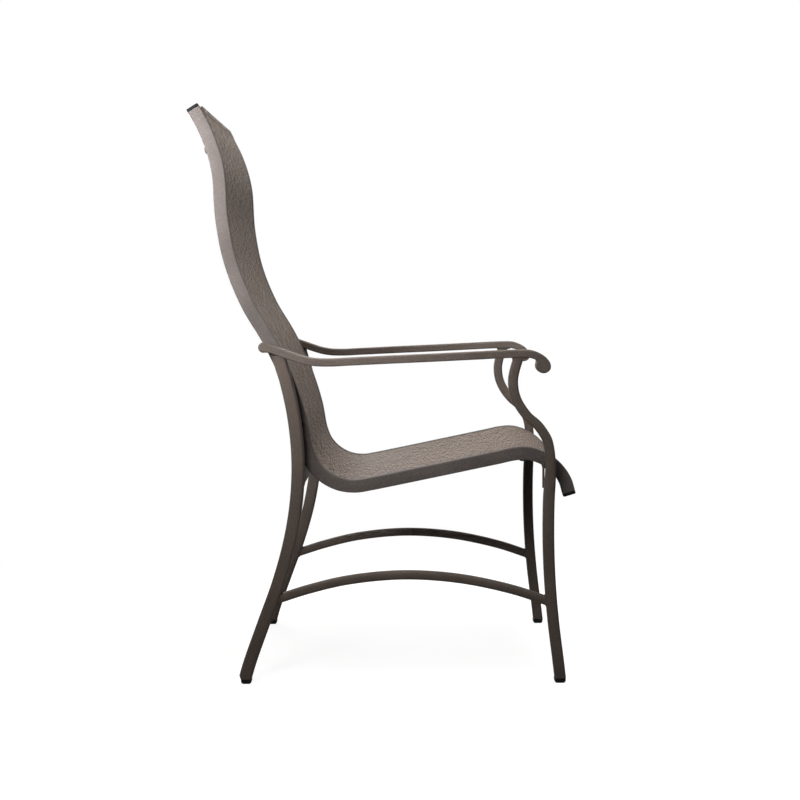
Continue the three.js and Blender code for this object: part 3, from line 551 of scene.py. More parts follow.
def rim_on_leg(ring, way, shares, depth, facing):
    """The rim of a ring carried along a bar's way on to the face of a leg."""
    stops = np.linspace(0, 1, 2001)
    places, ways = side_line(shares, stops)
    near = np.argmin(np.linalg.norm(places - ring[:, 1:].mean(axis=0), axis=1))
    square = np.array([-ways[near][1], ways[near][0]])
    square *= facing * np.sign(square[0])
    face = places[near] + square * depth / 2
    ahead = (face - ring[:, 1:]) @ square / (way @ square)
    return np.column_stack([ring[:, 0], ring[:, 1:] + ahead[:, None] * way])


for word, side in SIDES:
    rings = bent_rings(
        STRETCHER_SHARES, np.linspace(0.004, 0.996, 120), lambda stop: stretcher_ring,
        side * LEG_X,
    )
    fit_piece(
        f"side_stretcher_tube_{word}", *skin(rings), leg_coat, "frame_paint",
        (f"side_stretcher_{word}",),
    )
    for end, stop, shares, depth, facing in STRETCHER_WELDS:
        (place,), (way,) = side_line(STRETCHER_SHARES, [stop])
        ring = square_ring(stretcher_ring, side * LEG_X, place, way)
        weld_bead(
            f"stretcher_weld_{end}_{word}", rim_on_leg(ring, way, shares, depth, facing)
        )

# ---- Rear crossbar ----
# A deep flattened tube that ties the rear legs together below the seat.
# It is the widest single part of the frame and is welded between the legs.
CROSSBAR_HEIGHT, CROSSBAR_DEPTH, CROSSBAR_CORNER = 0.050, 0.022, 0.0105
CROSSBAR_REACH, CROSSBAR_SHARE = 0.2785, 0.363
crossbar_z = CROSSBAR_SHARE * CHAIR_HEIGHT
crossbar_y = line_depth_at(REAR_LEG_SHARES, crossbar_z)
crossbar_ring = rounded_bar(CROSSBAR_DEPTH, CROSSBAR_HEIGHT, CROSSBAR_CORNER, 10)
rings = [
    upright_ring(crossbar_ring, x, crossbar_y, crossbar_z)
    for x in np.linspace(-CROSSBAR_REACH, CROSSBAR_REACH, 24)
]
fit_piece(
    "rear_crossbar_tube", *skin(rings), leg_coat, "frame_paint", ("rear_crossbar",)
)
for word, side in SIDES:
    weld_bead(f"crossbar_weld_{word}", upright_ring(
        crossbar_ring, side * (LEG_X - LEG_WIDTH / 2), crossbar_y, crossbar_z
    ))

# ---- Sling rails ----
# Aluminium extrusions, one each side, with a round channel and a slot that hold the sling's edge.
# They are bent to the line of the seat and back, bolted to the legs and coated to match.
RAIL_CENTRE, RAIL_WIDTH, RAIL_DEPTH, RAIL_CORNER = 0.260, 0.022, 0.025, 0.0024
RAIL_WALL, CHANNEL_RADIUS, SLOT_WIDTH, SLOT_LIP = 0.0017, 0.0039, 0.0024, 0.0024
RAIL_STEPS = 44
RAIL_SHARES = [
    (0.0204, 0.3302), (0.0293, 0.3498), (0.0465, 0.3681), (0.0707, 0.3829), (0.0995, 0.3931),
    (0.1320, 0.3983), (0.1665, 0.3966), (0.2019, 0.3915), (0.2767, 0.3812), (0.3867, 0.3661),
    (0.4974, 0.3511), (0.5368, 0.3460), (0.5780, 0.3420), (0.6199, 0.3459), (0.6572, 0.3588),
    (0.6871, 0.3800), (0.7036, 0.4066), (0.7179, 0.4572), (0.7507, 0.5271), (0.7965, 0.5942),
    (0.8550, 0.6619), (0.8966, 0.7337), (0.9175, 0.8089), (0.9245, 0.8854), (0.9360, 0.9213),
    (0.9544, 0.9558), (0.9780, 0.9874), (0.9866, 0.9966),
]
channel_x = RAIL_WALL + CHANNEL_RADIUS - RAIL_WIDTH / 2
channel_y = RAIL_DEPTH / 2 - RAIL_WALL - CHANNEL_RADIUS
slot_top = RAIL_DEPTH / 2 - SLOT_LIP
slot_bottom = slot_top - SLOT_WIDTH
cloth_rise = (slot_top + slot_bottom) / 2
# The rails carry the legs' coat drawn greyer and cooler, which stands in for the cool light and
# neutral highlight on them: painted light.
rail_coat_painted_cool_light = coated_metal(
    "rail_powder_coat", (0.0705, 0.0595, 0.055), (0.136, 0.118, 0.112), dust_and_top_light=0.01, grain=1000,
    fleck_share=0.45
)


def rail_outline(side):
    """The extrusion's outline with its channel; across is out from the chair's middle."""
    rim = rounded_bar(RAIL_WIDTH, RAIL_DEPTH, RAIL_CORNER, 5)
    turn = np.arctan2(rim[:, 1] - cloth_rise, rim[:, 0])
    rim = rim[np.argsort(np.mod(turn - math.pi, 2 * math.pi))]
    low = math.pi - math.asin((slot_bottom - channel_y) / CHANNEL_RADIUS)
    high = math.pi - math.asin((slot_top - channel_y) / CHANNEL_RADIUS)
    turns = np.linspace(high + 2 * math.pi, low, 20)
    channel = np.column_stack([
        channel_x + CHANNEL_RADIUS * np.cos(turns), channel_y + CHANNEL_RADIUS * np.sin(turns),
    ])
    outline = np.vstack([
        rim, (-RAIL_WIDTH / 2, slot_top), channel, (-RAIL_WIDTH / 2, slot_bottom),
    ])
    return outline * (side, 1)


for word, side in SIDES:
    outline = rail_outline(side)
    rings = bent_rings(
        RAIL_SHARES, np.linspace(0, 1, 240), lambda stop: outline, side * RAIL_CENTRE
    )
    fit_piece(
        f"sling_rail_extrusion_{word}", *skin(rings), rail_coat_painted_cool_light, "frame_paint",
        (f"sling_rail_{word}",), crease=40,
    )

# ---- Rail caps ----
# Black nylon caps that close both ends of each rail, with a plug inside the extrusion.
# They stand 6 mm proud and are rounded all round.
CAP_CORNER, FIT_GAP = 0.0032, 0.0003
CAP_STEPS = (
    (0, 0.0009), (0.0006, 0.0001), (0.0012, 0), (0.0045, 0), (0.0054, 0.0003), (0.0060, 0.001),
    (0.0062, 0.002),
)
cap_nylon = moulded_nylon("rail_cap_nylon", (0.003, 0.003, 0.003), 1600, 0.2)

for word, side in SIDES:
    for end, stop, ahead in (("front", 0, -1), ("top", 1, 1)):
        (place,), (way,) = side_line(RAIL_SHARES, [stop])
        rings = []
        for distance, inset in CAP_STEPS:
            ring = rounded_bar(
                RAIL_WIDTH - inset * 2, RAIL_DEPTH - inset * 2, CAP_CORNER - inset, 5
            )
            at = place + way * (FIT_GAP + distance) * ahead
            rings.append(square_ring(ring, side * RAIL_CENTRE, at, way))
        fit_piece(
            f"rail_end_cap_{end}_{word}", *skin(rings), cap_nylon, "black_plastic",
            (f"rail_cap_{end}_{word}",), crease=50,
        )

# ---- Bolts and spacers ----
# Steel button-head bolts with a hexagon socket, coated to match, from the rail into the leg.
# Black nylon spacers on the two rear bolts keep the rail clear of the leg.
LEG_INNER, RAIL_OUTER, RAIL_INNER = 0.277, 0.271, 0.249
web_y = channel_y - CHANNEL_RADIUS - RAIL_WALL
fitting_drop = -(web_y + RAIL_WALL - RAIL_DEPTH / 2) / 2
BOLT_SHARES = {
    "front_rail_bolt": 0.102, "lower_rear_rail_bolt": 0.625, "upper_rear_rail_bolt": 0.67,
}
BOLT_REACH, SPACER_RADIUS, SPACER_BORE, SPACER_EASE = 0.008, 0.0090, 0.0034, 0.0006
bolt_steel = coated_metal(
    "coated_fastener", (0.07, 0.057, 0.049), (0.2, 0.175, 0.16), grain=1500, fleck_share=0.5
)


def rail_fitting(share, drop):
    """Frame of a fitting on one run of the rail: across, along and towards the sitter."""
    run = int(share * RAIL_STEPS)
    (start, end), _ = side_line(RAIL_SHARES, [run / RAIL_STEPS, (run + 1) / RAIL_STEPS])
    way = (end - start) / np.linalg.norm(end - start)
    place = (start + end) / 2 - drop * np.array([-way[1], way[0]])
    return Matrix((
        (1, 0, 0, 0), (0, way[0], -way[1], place[0]), (0, way[1], way[0], place[1]), (0, 0, 0, 1),
    ))


def circle(radius, count=36):
    """Points on a circle; the radius may change from point to point."""
    turns = np.linspace(0, 2 * math.pi, count, endpoint=False)
    return np.column_stack([radius * np.cos(turns), radius * np.sin(turns)])


def hexagon(flat):
    """A hexagon of that half width across its flats, with as many points as the circles."""
    turns = np.linspace(0, 2 * math.pi, 36, endpoint=False)
    return circle(flat / np.cos((turns % (math.pi / 3)) - math.pi / 6))


head = RAIL_INNER - FIT_GAP
bolt_steps = (
    (LEG_INNER + BOLT_REACH, circle(0.003)), (head, circle(0.003)), (head, circle(0.0056)),
    (head - 0.0005, circle(0.006)), (head - 0.0014, circle(0.0058)),
    (head - 0.0026, circle(0.0050)), (head - 0.0034, circle(0.0038)),
    (head - 0.0037, circle(0.0028)), (head - 0.0036, hexagon(0.0020)),
    (head - 0.0014, hexagon(0.0019)),
)
spacer_low, spacer_high = RAIL_OUTER + FIT_GAP, LEG_INNER - FIT_GAP
spacer_steps = (
    (spacer_low, SPACER_BORE), (spacer_low, SPACER_RADIUS - SPACER_EASE),
    (spacer_low + SPACER_EASE, SPACER_RADIUS), (spacer_high - SPACER_EASE, SPACER_RADIUS),
    (spacer_high, SPACER_RADIUS - SPACER_EASE), (spacer_high, SPACER_BORE),
)
for name, share in BOLT_SHARES.items():
    bolt_y, bolt_z = rail_fitting(share, fitting_drop).translation[1:]
    for word, side in SIDES:
        rings = [upright_ring(ring, side * x, bolt_y, bolt_z) for x, ring in bolt_steps]
        fit_piece(
            f"{name}_socket_head_{word}", *skin(rings), bolt_steel, "hardware",
            (f"{name}_{word}",), crease=40,
        )
        if name == "front_rail_bolt":
            continue
        rings = [
            upright_ring(circle(radius), side * x, bolt_y, bolt_z) for x, radius in spacer_steps
        ]
        fit_piece(
            f"{name}_spacer_{word}", *skin(rings), cap_nylon, "black_plastic",
            (name.replace("rail_bolt", "rail_spacer").replace("_rear", "") + f"_{word}",),
        )

# ---- Seat brackets ----
# A slotted aluminium plate on the inside of each front leg that carries the front bolt.
# It is welded to the leg's inner face and its wing sweeps out below the rail.
BRACKET_FRONT, BRACKET_REAR, BRACKET_WING = 0.008, 0.0145, 0.010
BRACKET_DROP, BRACKET_RISE, BRACKET_EASE = 0.042, 0.012, 0.0005
SLIT_WIDTH, SLIT_LENGTH, SLIT_CORNER = 0.0053, 0.044, 0.0024
SLIT_INSET, SLIT_DROP, BOLT_HOLE = 0.00685, 0.016, 0.0033
bolt_y, bolt_z = rail_fitting(BOLT_SHARES["front_rail_bolt"], fitting_drop).translation[1:]
bracket_middle = line_depth_at(FRONT_LEG_SHARES, bolt_z)
bracket_front = bracket_middle - BRACKET_FRONT
bracket_rear = bracket_middle + BRACKET_REAR
wing_turns = np.linspace(0, 1, 12)[:, None]
wing_start = np.array([bracket_rear, bolt_z])
wing_corner = np.array([bracket_rear, bolt_z + BRACKET_RISE - FIT_GAP])
wing_end = wing_corner + (BRACKET_WING, 0)
wing = (
    (1 - wing_turns) ** 2 * wing_start + 2 * wing_turns * (1 - wing_turns) * wing_corner
    + wing_turns ** 2 * wing_end
)
plate_rim = np.vstack([
    (bracket_front, bolt_z - BRACKET_DROP), (bracket_rear, bolt_z - BRACKET_DROP), wing,
    (bracket_rear + BRACKET_WING, bolt_z + BRACKET_RISE), (bracket_front, bolt_z + BRACKET_RISE),
])
slit_ring = rounded_bar(SLIT_WIDTH, SLIT_LENGTH, SLIT_CORNER, 5)
slit_ring += (bracket_rear - SLIT_INSET, bolt_z - SLIT_DROP)
bolt_ring = circle(BOLT_HOLE, 24) + (bolt_y, bolt_z)


def pierced_plate(loops, x_low, x_high):
    """Vertices and faces of a plate with holes, cut in the side view and given its thickness."""
    made = bmesh.new()
    edges = []
    for loop in loops:
        verts = [made.verts.new((x_low, *p)) for p in loop]
        edges += [made.edges.new((a, b)) for a, b in zip(verts, verts[1:] + verts[:1])]
    bmesh.ops.triangle_fill(made, use_beauty=True, edges=edges)
    bmesh.ops.dissolve_limit(made, angle_limit=0.01, verts=made.verts[:], edges=made.edges[:])
    grown = bmesh.ops.extrude_face_region(made, geom=made.faces[:])["geom"]
    for vert in (v for v in grown if isinstance(v, bmesh.types.BMVert)):
        vert.co.x = x_high
    made.verts.index_update()
    verts = [tuple(v.co) for v in made.verts]
    faces = [tuple(v.index for v in face.verts) for face in made.faces]
    made.free()
    return verts, faces


for word, side in SIDES:
    x_low, x_high = sorted((side * spacer_low, side * spacer_high))
    plate = fit_piece(
        f"seat_bracket_plate_{word}",
        *pierced_plate((plate_rim, slit_ring, bolt_ring), x_low, x_high), leg_coat,
        "frame_paint", (f"seat_bracket_{word}",),
    )
    ease_edges(plate, BRACKET_EASE, 2)

# ---- Spreader bars ----
# Two flattened bars that hold the rails apart and the sling tight, below the seat and behind
# the head. A flat tongue at each end goes into the rail and a screw behind the rail holds it.
SPREADERS = {"seat": 0.193, "back": 0.897}
SPREADER_DROP, SPREADER_ROUNDING = 0.002, 0.36
# x, width, thickness and how far the section has moved down to the tongue
SPREADER_STEPS = (
    (-0.2663, 0.018, 0.005, 1), (-0.2490, 0.018, 0.005, 1), (-0.2487, 0.0225, 0.0095, 0.4),
    (-0.2440, 0.0245, 0.012, 0.15), (-0.2350, 0.026, 0.014, 0),
)
for name, share in SPREADERS.items():
    place = rail_fitting(share, SPREADER_DROP)
    rings = []
    for x, width, thick, shift in (
        *SPREADER_STEPS, *((-x, *section) for x, *section in SPREADER_STEPS[::-1])
    ):
        drop = (fitting_drop - SPREADER_DROP) * shift
        ring = rounded_bar(width, thick, thick * SPREADER_ROUNDING)
        rings.append(np.array([place @ Vector((x, p[0], p[1] - drop)) for p in ring]))
    fit_piece(
        f"{name}_spreader_bar_tube", *skin(rings), leg_coat, "frame_paint",
        (f"{name}_spreader_bar",),
    )

# ---- Spreader screws ----
# Coated pan-head screws with a cross recess, driven from behind through the rail's back face.
# They pull the tongue of each spreader bar tight.
RECESS_ARM, RECESS_WAIST = 0.3, 0.42
under = fitting_drop - RAIL_DEPTH / 2 - FIT_GAP


def cross_recess(reach):
    """The rim of a cross recess, with as many points as the circles."""
    turns = np.linspace(0, 2 * math.pi, 36, endpoint=False)
    off_arm = np.abs(np.mod(turns + math.pi / 4, math.pi / 2) - math.pi / 4)
    return circle(np.where(off_arm < RECESS_ARM, reach, reach * RECESS_WAIST))


screw_steps = (
    (0.0028, circle(0.0024)), (under, circle(0.0024)), (under, circle(0.0062)),
    (under - 0.0006, circle(0.0065)), (under - 0.0014, circle(0.0062)),
    (under - 0.0021, circle(0.0052)), (under - 0.0026, circle(0.0040)),
    (under - 0.0026, cross_recess(0.0030)), (under - 0.0008, cross_recess(0.0020)),
)
for name, share in SPREADERS.items():
    place = rail_fitting(share, fitting_drop)
    for word, side in SIDES:
        rings = [
            np.array([place @ Vector((side * RAIL_CENTRE + p[0], p[1], rise)) for p in ring])
            for rise, ring in screw_steps
        ]
        fit_piece(
            f"{name}_spreader_screw_head_{word}", *skin(rings), bolt_steel, "hardware",
            (f"{name}_spreader_screw_{word}",), crease=40,
        )

# ---- Sling ----
# One sheet of vinyl-coated polyester, basket woven in two browns, stretched between the rails.
# Its long edges are welded round the splines inside the rails, its ends are hemmed and sewn.
CLOTH_THICKNESS, HEM_ROUND, YARN_PITCH = 0.0012, 0.0028, 0.0012
ROW_SHIFT, FINE_SHARE, SLUB_SHARE = 300.0, 0.6, 0.4
hem_centre = RAIL_CENTRE + channel_x

woven_sling, given, given_out = effect_group(
    "basket_weave",
    (
        ("Pale Yarn", COLOR, (0.36, 0.29, 0.25, 1)), ("Dark Yarn", COLOR, (0.1, 0.078, 0.062, 1)),
        ("Yarn Pitch", FLOAT, YARN_PITCH), ("Dye Length", FLOAT, 23), ("Warp Share", FLOAT, 0.6),
    ),
    (("Color", COLOR), ("Height", FLOAT), ("Roughness", FLOAT)),
)
lay = put_node(woven_sling, "ShaderNodeUVMap", uv_map="weave").outputs[0]
split = put_node(woven_sling, "ShaderNodeSeparateXYZ", {"Vector": lay})
across_yarns = math_of(woven_sling, "DIVIDE", split.outputs[0], given.outputs["Yarn Pitch"])
along_yarns = math_of(woven_sling, "DIVIDE", split.outputs[1], given.outputs["Yarn Pitch"])
across_half = math_of(woven_sling, "MULTIPLY", across_yarns, 0.5)
along_half = math_of(woven_sling, "MULTIPLY", along_yarns, 0.5)
weft_row = math_of(woven_sling, "FLOOR", along_half)
warp_row = math_of(woven_sling, "FLOOR", across_half)
warp_over = math_of(
    woven_sling, "FLOORED_MODULO", math_of(woven_sling, "ADD", weft_row, warp_row), 2.0
)


def yarn_round(along):
    """Height over one yarn, from its edge to its crown and back."""
    return math_of(woven_sling, "ABSOLUTE", math_of(
        woven_sling, "SINE", math_of(woven_sling, "MULTIPLY", along, math.pi)
    ))


warp_height = math_of(woven_sling, "MULTIPLY", yarn_round(across_yarns), yarn_round(along_half))
weft_height = math_of(woven_sling, "MULTIPLY", yarn_round(along_yarns), yarn_round(across_half))
weft_over = math_of(woven_sling, "SUBTRACT", 1.0, warp_over)
weave_height = math_of(
    woven_sling, "ADD", math_of(woven_sling, "MULTIPLY", warp_height, warp_over),
    math_of(woven_sling, "MULTIPLY", weft_height, weft_over),
)


def dyed_tone(row, along, seed):
    """Tone of a space-dyed yarn: it drifts along the yarn and starts anew in each row."""
    start = put_node(woven_sling, "ShaderNodeTexWhiteNoise", {
        "W": math_of(woven_sling, "ADD", row, seed),
    }, noise_dimensions="1D").outputs["Value"]
    turn = math_of(
        woven_sling, "MULTIPLY_ADD", along, given.outputs["Dye Length"],
        math_of(woven_sling, "MULTIPLY", start, ROW_SHIFT),
    )
    noise = put_node(
        woven_sling, "ShaderNodeTexNoise", {"W": turn, "Scale": 1.0, "Detail": 1},
        noise_dimensions="1D",
    ).outputs[0]
    return range_of(woven_sling, noise, (0.39, 0.61))


slub_row = math_of(woven_sling, "FLOOR", math_of(woven_sling, "MULTIPLY", along_half, 0.5))
weft_mask = math_of(
    woven_sling, "ADD",
    math_of(woven_sling, "MULTIPLY", dyed_tone(weft_row, split.outputs[0], 0.3), FINE_SHARE),
    math_of(woven_sling, "MULTIPLY", dyed_tone(slub_row, split.outputs[0], 70.3), SLUB_SHARE),
)
warp_tone = dyed_tone(warp_row, split.outputs[1], 400.3)
weft_color = blend_of(
    woven_sling, weft_mask, given.outputs["Dark Yarn"], given.outputs["Pale Yarn"]
)
warp_color = blend_of(
    woven_sling, math_of(woven_sling, "MULTIPLY", warp_tone, given.outputs["Warp Share"]),
    given.outputs["Dark Yarn"], given.outputs["Pale Yarn"],
)
slubbed = blend_of(woven_sling, warp_over, weft_color, warp_color)
# The yarns' colour is darkened between them and lifted on their crowns: painted shade in the
# weave's hollows and painted highlight on the crowns.
painted_yarn_shade_and_highlight = range_of(woven_sling, weave_height, (0, 1), (0.45, 1.15))
shaded = blend_of(woven_sling, 1.0, slubbed, painted_yarn_shade_and_highlight, "MULTIPLY")
weave_roughness = range_of(woven_sling, weave_height, (0, 1), (0.8, 0.55))
woven_sling.links.new(shaded, given_out.inputs["Color"])
woven_sling.links.new(weave_height, given_out.inputs["Height"])
woven_sling.links.new(weave_roughness, given_out.inputs["Roughness"])

sling_weave, tree = finish_tree("sling_weave")
weave = put_node(tree, "ShaderNodeGroup", {
    "Pale Yarn": (0.446, 0.358, 0.303, 1), "Dark Yarn": (0.057, 0.0447, 0.0362, 1),
    "Yarn Pitch": YARN_PITCH, "Dye Length": 33, "Warp Share": 0.35,
}, node_tree=woven_sling).outputs
lead_to_shader(
    tree, weave["Color"], weave["Roughness"], weave["Height"], relief=0.5, depth=0.0008,
    gloss=0.03,
)

SLING_ROWS, SLING_COLUMNS, BEND_STOP = 420, 60, 0.555
sling_stops = np.linspace(0.002, 0.999, SLING_ROWS)
sling_places, sling_ways = side_line(RAIL_SHARES, sling_stops)
sling_lengths = run_along(sling_places)
bend_at = sling_lengths[np.argmin(abs(sling_stops - BEND_STOP))]

# The cloth rises over the lips of the rails and more at its top hem, bridges the bend,
# sags over the seat and the small of the back, and puckers beside the rails at the bend.
FREE_HALF, LIP_X, LIP_RUN = 0.246, 0.2484, 0.005
LIP_RISE, TOP_RISE, TOP_RUN = 0.0024, 0.0045, 0.028
SWELLS = ((0.0065, bend_at, 0.07), (-0.004, 0.20, 0.14), (-0.003, bend_at + 0.42, 0.16))
PUCKER_RISE, PUCKER_PITCH, PUCKER_RUN = 0.0009, 0.019, 0.055
PUCKER_START, PUCKER_REACH, PUCKER_SWAY, PUCKER_TURN = 0.004, 0.022, 2.2, 31


def hump(along, centre, spread):
    """A bell-shaped swell along the cloth, 1 high."""
    return np.exp(-((along - centre) / spread) ** 2)


def cloth_lift(x, along):
    """How far the stretched cloth stands off the straight line between the slots."""
    to_top = np.maximum(sling_lengths[-1] - along, 0)
    edge = eased((LIP_X - abs(x)) / LIP_RUN) * (LIP_RISE + TOP_RISE * np.exp(-to_top / TOP_RUN))
    swell = sum(rise * hump(along, centre, spread) for rise, centre, spread in SWELLS)
    free = np.clip(1 - (x / FREE_HALF) ** 2, 0, 1) ** 1.4
    from_rail = np.clip(FREE_HALF - abs(x), 0, 1)
    wave = np.sin(along * 2 * math.pi / PUCKER_PITCH + PUCKER_SWAY * np.sin(x * PUCKER_TURN))
    fade = np.exp(-from_rail / PUCKER_REACH) * np.clip(from_rail / PUCKER_START, 0, 1)
    pucker = PUCKER_RISE * wave * fade * hump(along, bend_at, PUCKER_RUN)
    return edge + swell * free + pucker


def cloth_faces(rows, columns):
    """Faces of an open sheet of cloth, row by row."""
    return [
        (r * columns + i, r * columns + i + 1, (r + 1) * columns + i + 1, (r + 1) * columns + i)
        for r in range(rows - 1) for i in range(columns - 1)
    ]


LOOP_X, INNER_X = 0.2519, 0.223
near_rail = np.array([
    0.2518, 0.2500, 0.2485, 0.2476, 0.2467, 0.2458, 0.2449, 0.2440, 0.2430, 0.2410, 0.2380,
    0.2340, 0.2290,
])
flat_x = np.concatenate([
    -near_rail, np.linspace(-INNER_X, INNER_X, SLING_COLUMNS), near_rail[::-1],
])
loop_turns = np.radians(np.linspace(-45, -315, 14))
left_loop = np.column_stack([
    -hem_centre + HEM_ROUND * np.cos(loop_turns), channel_y + HEM_ROUND * np.sin(loop_turns),
])[:-1]
section = np.vstack([
    left_loop, np.column_stack([flat_x, np.full(len(flat_x), cloth_rise)]),
    (left_loop * (-1, 1))[::-1],
])
section_run = run_along(section)
section_run -= section_run[-1] / 2
rings, sling_uvs = [], []
for place, way, along in zip(sling_places, sling_ways, sling_lengths):
    lift = np.where(abs(section[:, 0]) < LOOP_X, cloth_lift(section[:, 0], along), 0)
    raised = np.column_stack([section[:, 0], section[:, 1] + lift])
    rings.append(square_ring(raised, 0, place, way))
    sling_uvs += [(u, along) for u in section_run]


def weave_into_cloth(piece, places):
    """Gives cloth its thickness and its weave lines, in metres across and along the sheet."""
    layer = piece.data.uv_layers.new(name="weave")
    for loop_index, corner in enumerate(piece.data.loops):
        layer.data[loop_index].uv = places[corner.vertex_index]
    both = piece.modifiers.new("cloth thickness", "SOLIDIFY")
    both.thickness = CLOTH_THICKNESS
    both.offset = 0


sling_sheet = fit_piece(
    "sling_sheet", np.vstack(rings), cloth_faces(SLING_ROWS, len(section)), sling_weave,
    "sling_fabric", ("sling",), crease=80,
)
weave_into_cloth(sling_sheet, sling_uvs)

# ---- Sling hems ----
# At the top and front the sheet is turned under 20 mm and sewn down with two rows of thread.
# The fold makes the free ends round and twice as thick.
HEM_DEPTH, HEM_HALF, HEM_COLUMNS, HEM_STEPS = 0.020, 0.2475, 60, 14
HEM_FOLD = ((0.0, 0.0), (-0.0006, -0.0003), (-0.0008, -0.0007), (-0.0006, -0.0011))
HEM_UNDER = -0.0014
STITCH_LENGTH, STITCH_PITCH, STITCH_HALF, STITCH_ROWS = 0.0032, 0.0043, 0.243, (0.0165, 0.0115)
STITCH_STEPS = ((-0.5, 0.0001), (-0.3, 0.00042), (0.3, 0.00042), (0.5, 0.0001))
hem_thread = moulded_nylon("hem_thread", (0.03, 0.024, 0.02), 2400, 0.4)


def cloth_frame(along):
    """Place, way and normal on the sling's middle line at a length along it."""
    stop = np.interp(along, sling_lengths, sling_stops)
    (place,), (way,) = side_line(RAIL_SHARES, [stop])
    return place, way, np.array([-way[1], way[0]])


for end, edge, inward in (("front", 0.0, 1), ("top", sling_lengths[-1], -1)):
    path = [*HEM_FOLD, *((step, HEM_UNDER) for step in np.linspace(0, HEM_DEPTH, HEM_STEPS))]
    verts, uvs = [], []
    for ahead, rise in path:
        along = edge + inward * ahead
        place, way, normal = cloth_frame(min(max(along, 0), sling_lengths[-1]))
        for x in np.linspace(-HEM_HALF, HEM_HALF, HEM_COLUMNS):
            lift = cloth_rise + rise + float(cloth_lift(x, along))
            at = place + way * min(ahead, 0) * inward + normal * lift
            verts.append((x, at[0], at[1]))
            uvs.append((x, along))
    hem = fit_piece(
        f"sling_{end}_hem", verts, cloth_faces(len(path), HEM_COLUMNS), sling_weave,
        "sling_fabric",
    )
    weave_into_cloth(hem, uvs)
    verts, faces = [], []
    for row in STITCH_ROWS:
        along = edge + inward * row
        place, way, normal = cloth_frame(along)
        for x in np.arange(-STITCH_HALF, STITCH_HALF, STITCH_PITCH):
            lift = cloth_rise + float(cloth_lift(x, along)) + CLOTH_THICKNESS / 2
            rings = []
            for share, radius in STITCH_STEPS:
                ring = circle(radius, 6)
                at = place + np.outer(ring[:, 0], way) + np.outer(lift + ring[:, 1], normal)
                rings.append(upright_ring(at, x + share * STITCH_LENGTH))
            stitch_verts, stitch_faces = skin(rings)
            faces += [tuple(len(verts) + i for i in face) for face in stitch_faces]
            verts += list(stitch_verts)
    fit_piece(f"sling_{end}_stitching", verts, faces, hem_thread, "sling_fabric", crease=80)

# ---- Splines ----
# Extruded vinyl rods inside the sling's welded edges, which lock them in the rail channels.
# The solids from model.glb stay, in black vinyl.
spline_vinyl = moulded_nylon("spline_vinyl", (0.02, 0.02, 0.019), 900, 0.2)
for word, _ in SIDES:
    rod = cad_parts[f"sling_spline_{word}"]
    rod.data.materials.clear()
    rod.data.materials.append(spline_vinyl)

# ---- Floor and lights ----
# A plain pale floor that runs out to a white surround and keeps a faint shadow of the chair.
# Softboxes overhead, behind the chair's shoulders and low at its sides, in an even surround.
FLOOR_REACH, FADE_START, FADE_END = 60, 0.7, 1.6


def seen_directly(tree):
    """1 for camera, glossy and transmission rays."""
    path = put_node(tree, "ShaderNodeLightPath")
    first = math_of(tree, "MAXIMUM", path.outputs["Is Camera Ray"], path.outputs["Is Glossy Ray"])
    return math_of(tree, "MAXIMUM", first, path.outputs["Is Transmission Ray"])


floor_mesh = bpy.data.meshes.new("floor")
floor_mesh.from_pydata([
    (x * FLOOR_REACH, y * FLOOR_REACH, 0) for x, y in ((-1, -1), (1, -1), (1, 1), (-1, 1))
], [], [(0, 1, 2, 3)])
floor = bpy.data.objects.new("floor", floor_mesh)
bpy.context.collection.objects.link(floor)
pale_floor, tree = finish_tree("pale_floor")
tree.nodes.remove(tree.nodes["Principled BSDF"])
sheet_white = put_node(tree, "ShaderNodeBsdfDiffuse", {"Color": (0.16, 0.16, 0.16, 1)})
near_white = put_node(tree, "ShaderNodeAddShader", {
    0: put_node(tree, "ShaderNodeEmission", {"Strength": 0.86}).outputs[0],
    1: put_node(tree, "ShaderNodeBsdfDiffuse", {"Color": (0.3, 0.3, 0.3, 1)}).outputs[0],
})
far_white = put_node(tree, "ShaderNodeEmission", {"Strength": 1.0})
floor_spot = put_node(tree, "ShaderNodeTexCoord").outputs["Object"]
floor_reach = put_node(tree, "ShaderNodeVectorMath", {0: floor_spot}, operation="LENGTH")
fade = range_of(tree, floor_reach.outputs["Value"], (FADE_START, FADE_END))
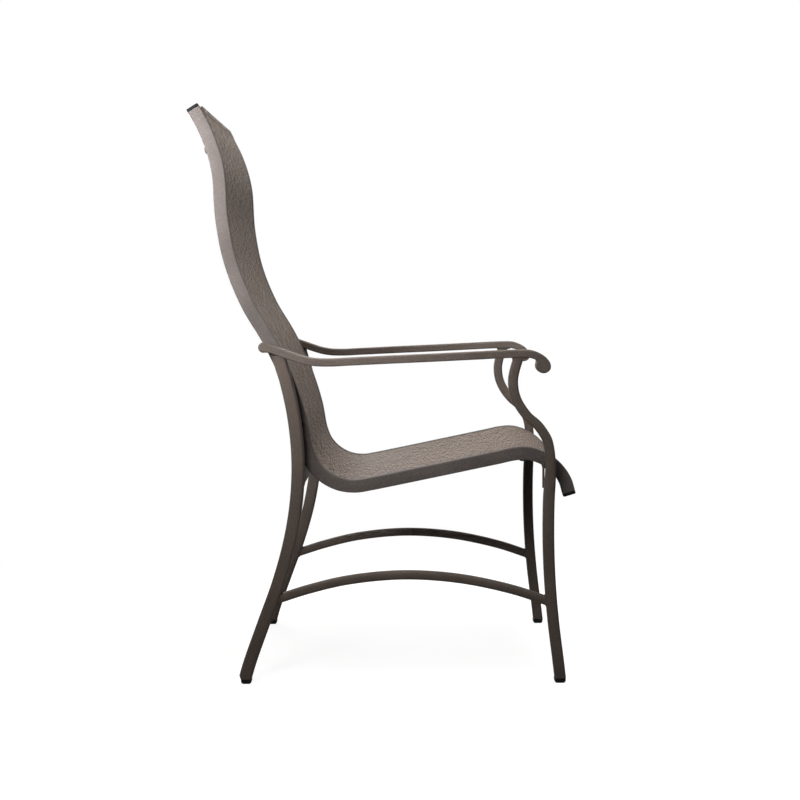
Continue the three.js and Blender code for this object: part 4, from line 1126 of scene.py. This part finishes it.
seen_white = put_node(tree, "ShaderNodeMixShader", {
    0: fade, 1: near_white.outputs[0], 2: far_white.outputs[0],
})
pick = put_node(tree, "ShaderNodeMixShader", {
    0: seen_directly(tree), 1: sheet_white.outputs[0], 2: seen_white.outputs[0],
})
tree.links.new(pick.outputs[0], tree.nodes["Material Output"].inputs["Surface"])
floor_mesh.materials.append(pale_floor)

world = bpy.data.worlds.new("white surround")
bpy.context.scene.world = world
world.use_nodes = True
tree = world.node_tree
low_light = put_node(tree, "ShaderNodeBackground", {
    "Color": (1, 0.985, 0.95, 1), "Strength": 0.105,
})
white_wall = put_node(tree, "ShaderNodeBackground", {"Color": (1, 1, 1, 1), "Strength": 1.0})
pick = put_node(tree, "ShaderNodeMixShader", {
    0: seen_directly(tree), 1: low_light.outputs[0], 2: white_wall.outputs[0],
})
tree.links.new(pick.outputs[0], tree.nodes["World Output"].inputs["Surface"])


def softbox(name, place, aim, size, power, spread=180, tint=(1, 1, 1)):
    """A square lamp that faces a point, with its light held to a spread in degrees."""
    lamp = bpy.data.lights.new(name, "AREA")
    lamp.shape = "SQUARE"
    lamp.size = size
    lamp.energy = power
    lamp.color = tint
    lamp.spread = math.radians(spread)
    box = bpy.data.objects.new(name, lamp)
    box.location = place
    box.rotation_euler = (Vector(aim) - Vector(place)).to_track_quat("-Z", "Y").to_euler()
    bpy.context.collection.objects.link(box)


softbox("rear softbox", (-1.15, 1.0, 1.15), (-0.27, 0.38, 1.12), 0.5, 10.5, 62, (0.96, 0.985, 1))
softbox("side softbox", (-1.5, 0.48, 0.95), (-0.27, 0.02, 0.55), 0.4, 1.7, 72, (1, 0.985, 0.96))
softbox("far side softbox", (2.3, 0.75, 1.2), (0.2, 0.2, 0.6), 1.2, 9, 90)
softbox("overhead softbox", (-0.3, -0.3, 3.0), (0, -0.1, 0.5), 1.4, 85)
softbox("highlight softbox", (-3.3, 0.9, 1.6), (-0.27, 0.33, 1.2), 0.8, 4, 60)

bpy.context.scene.view_settings.view_transform = "Standard"
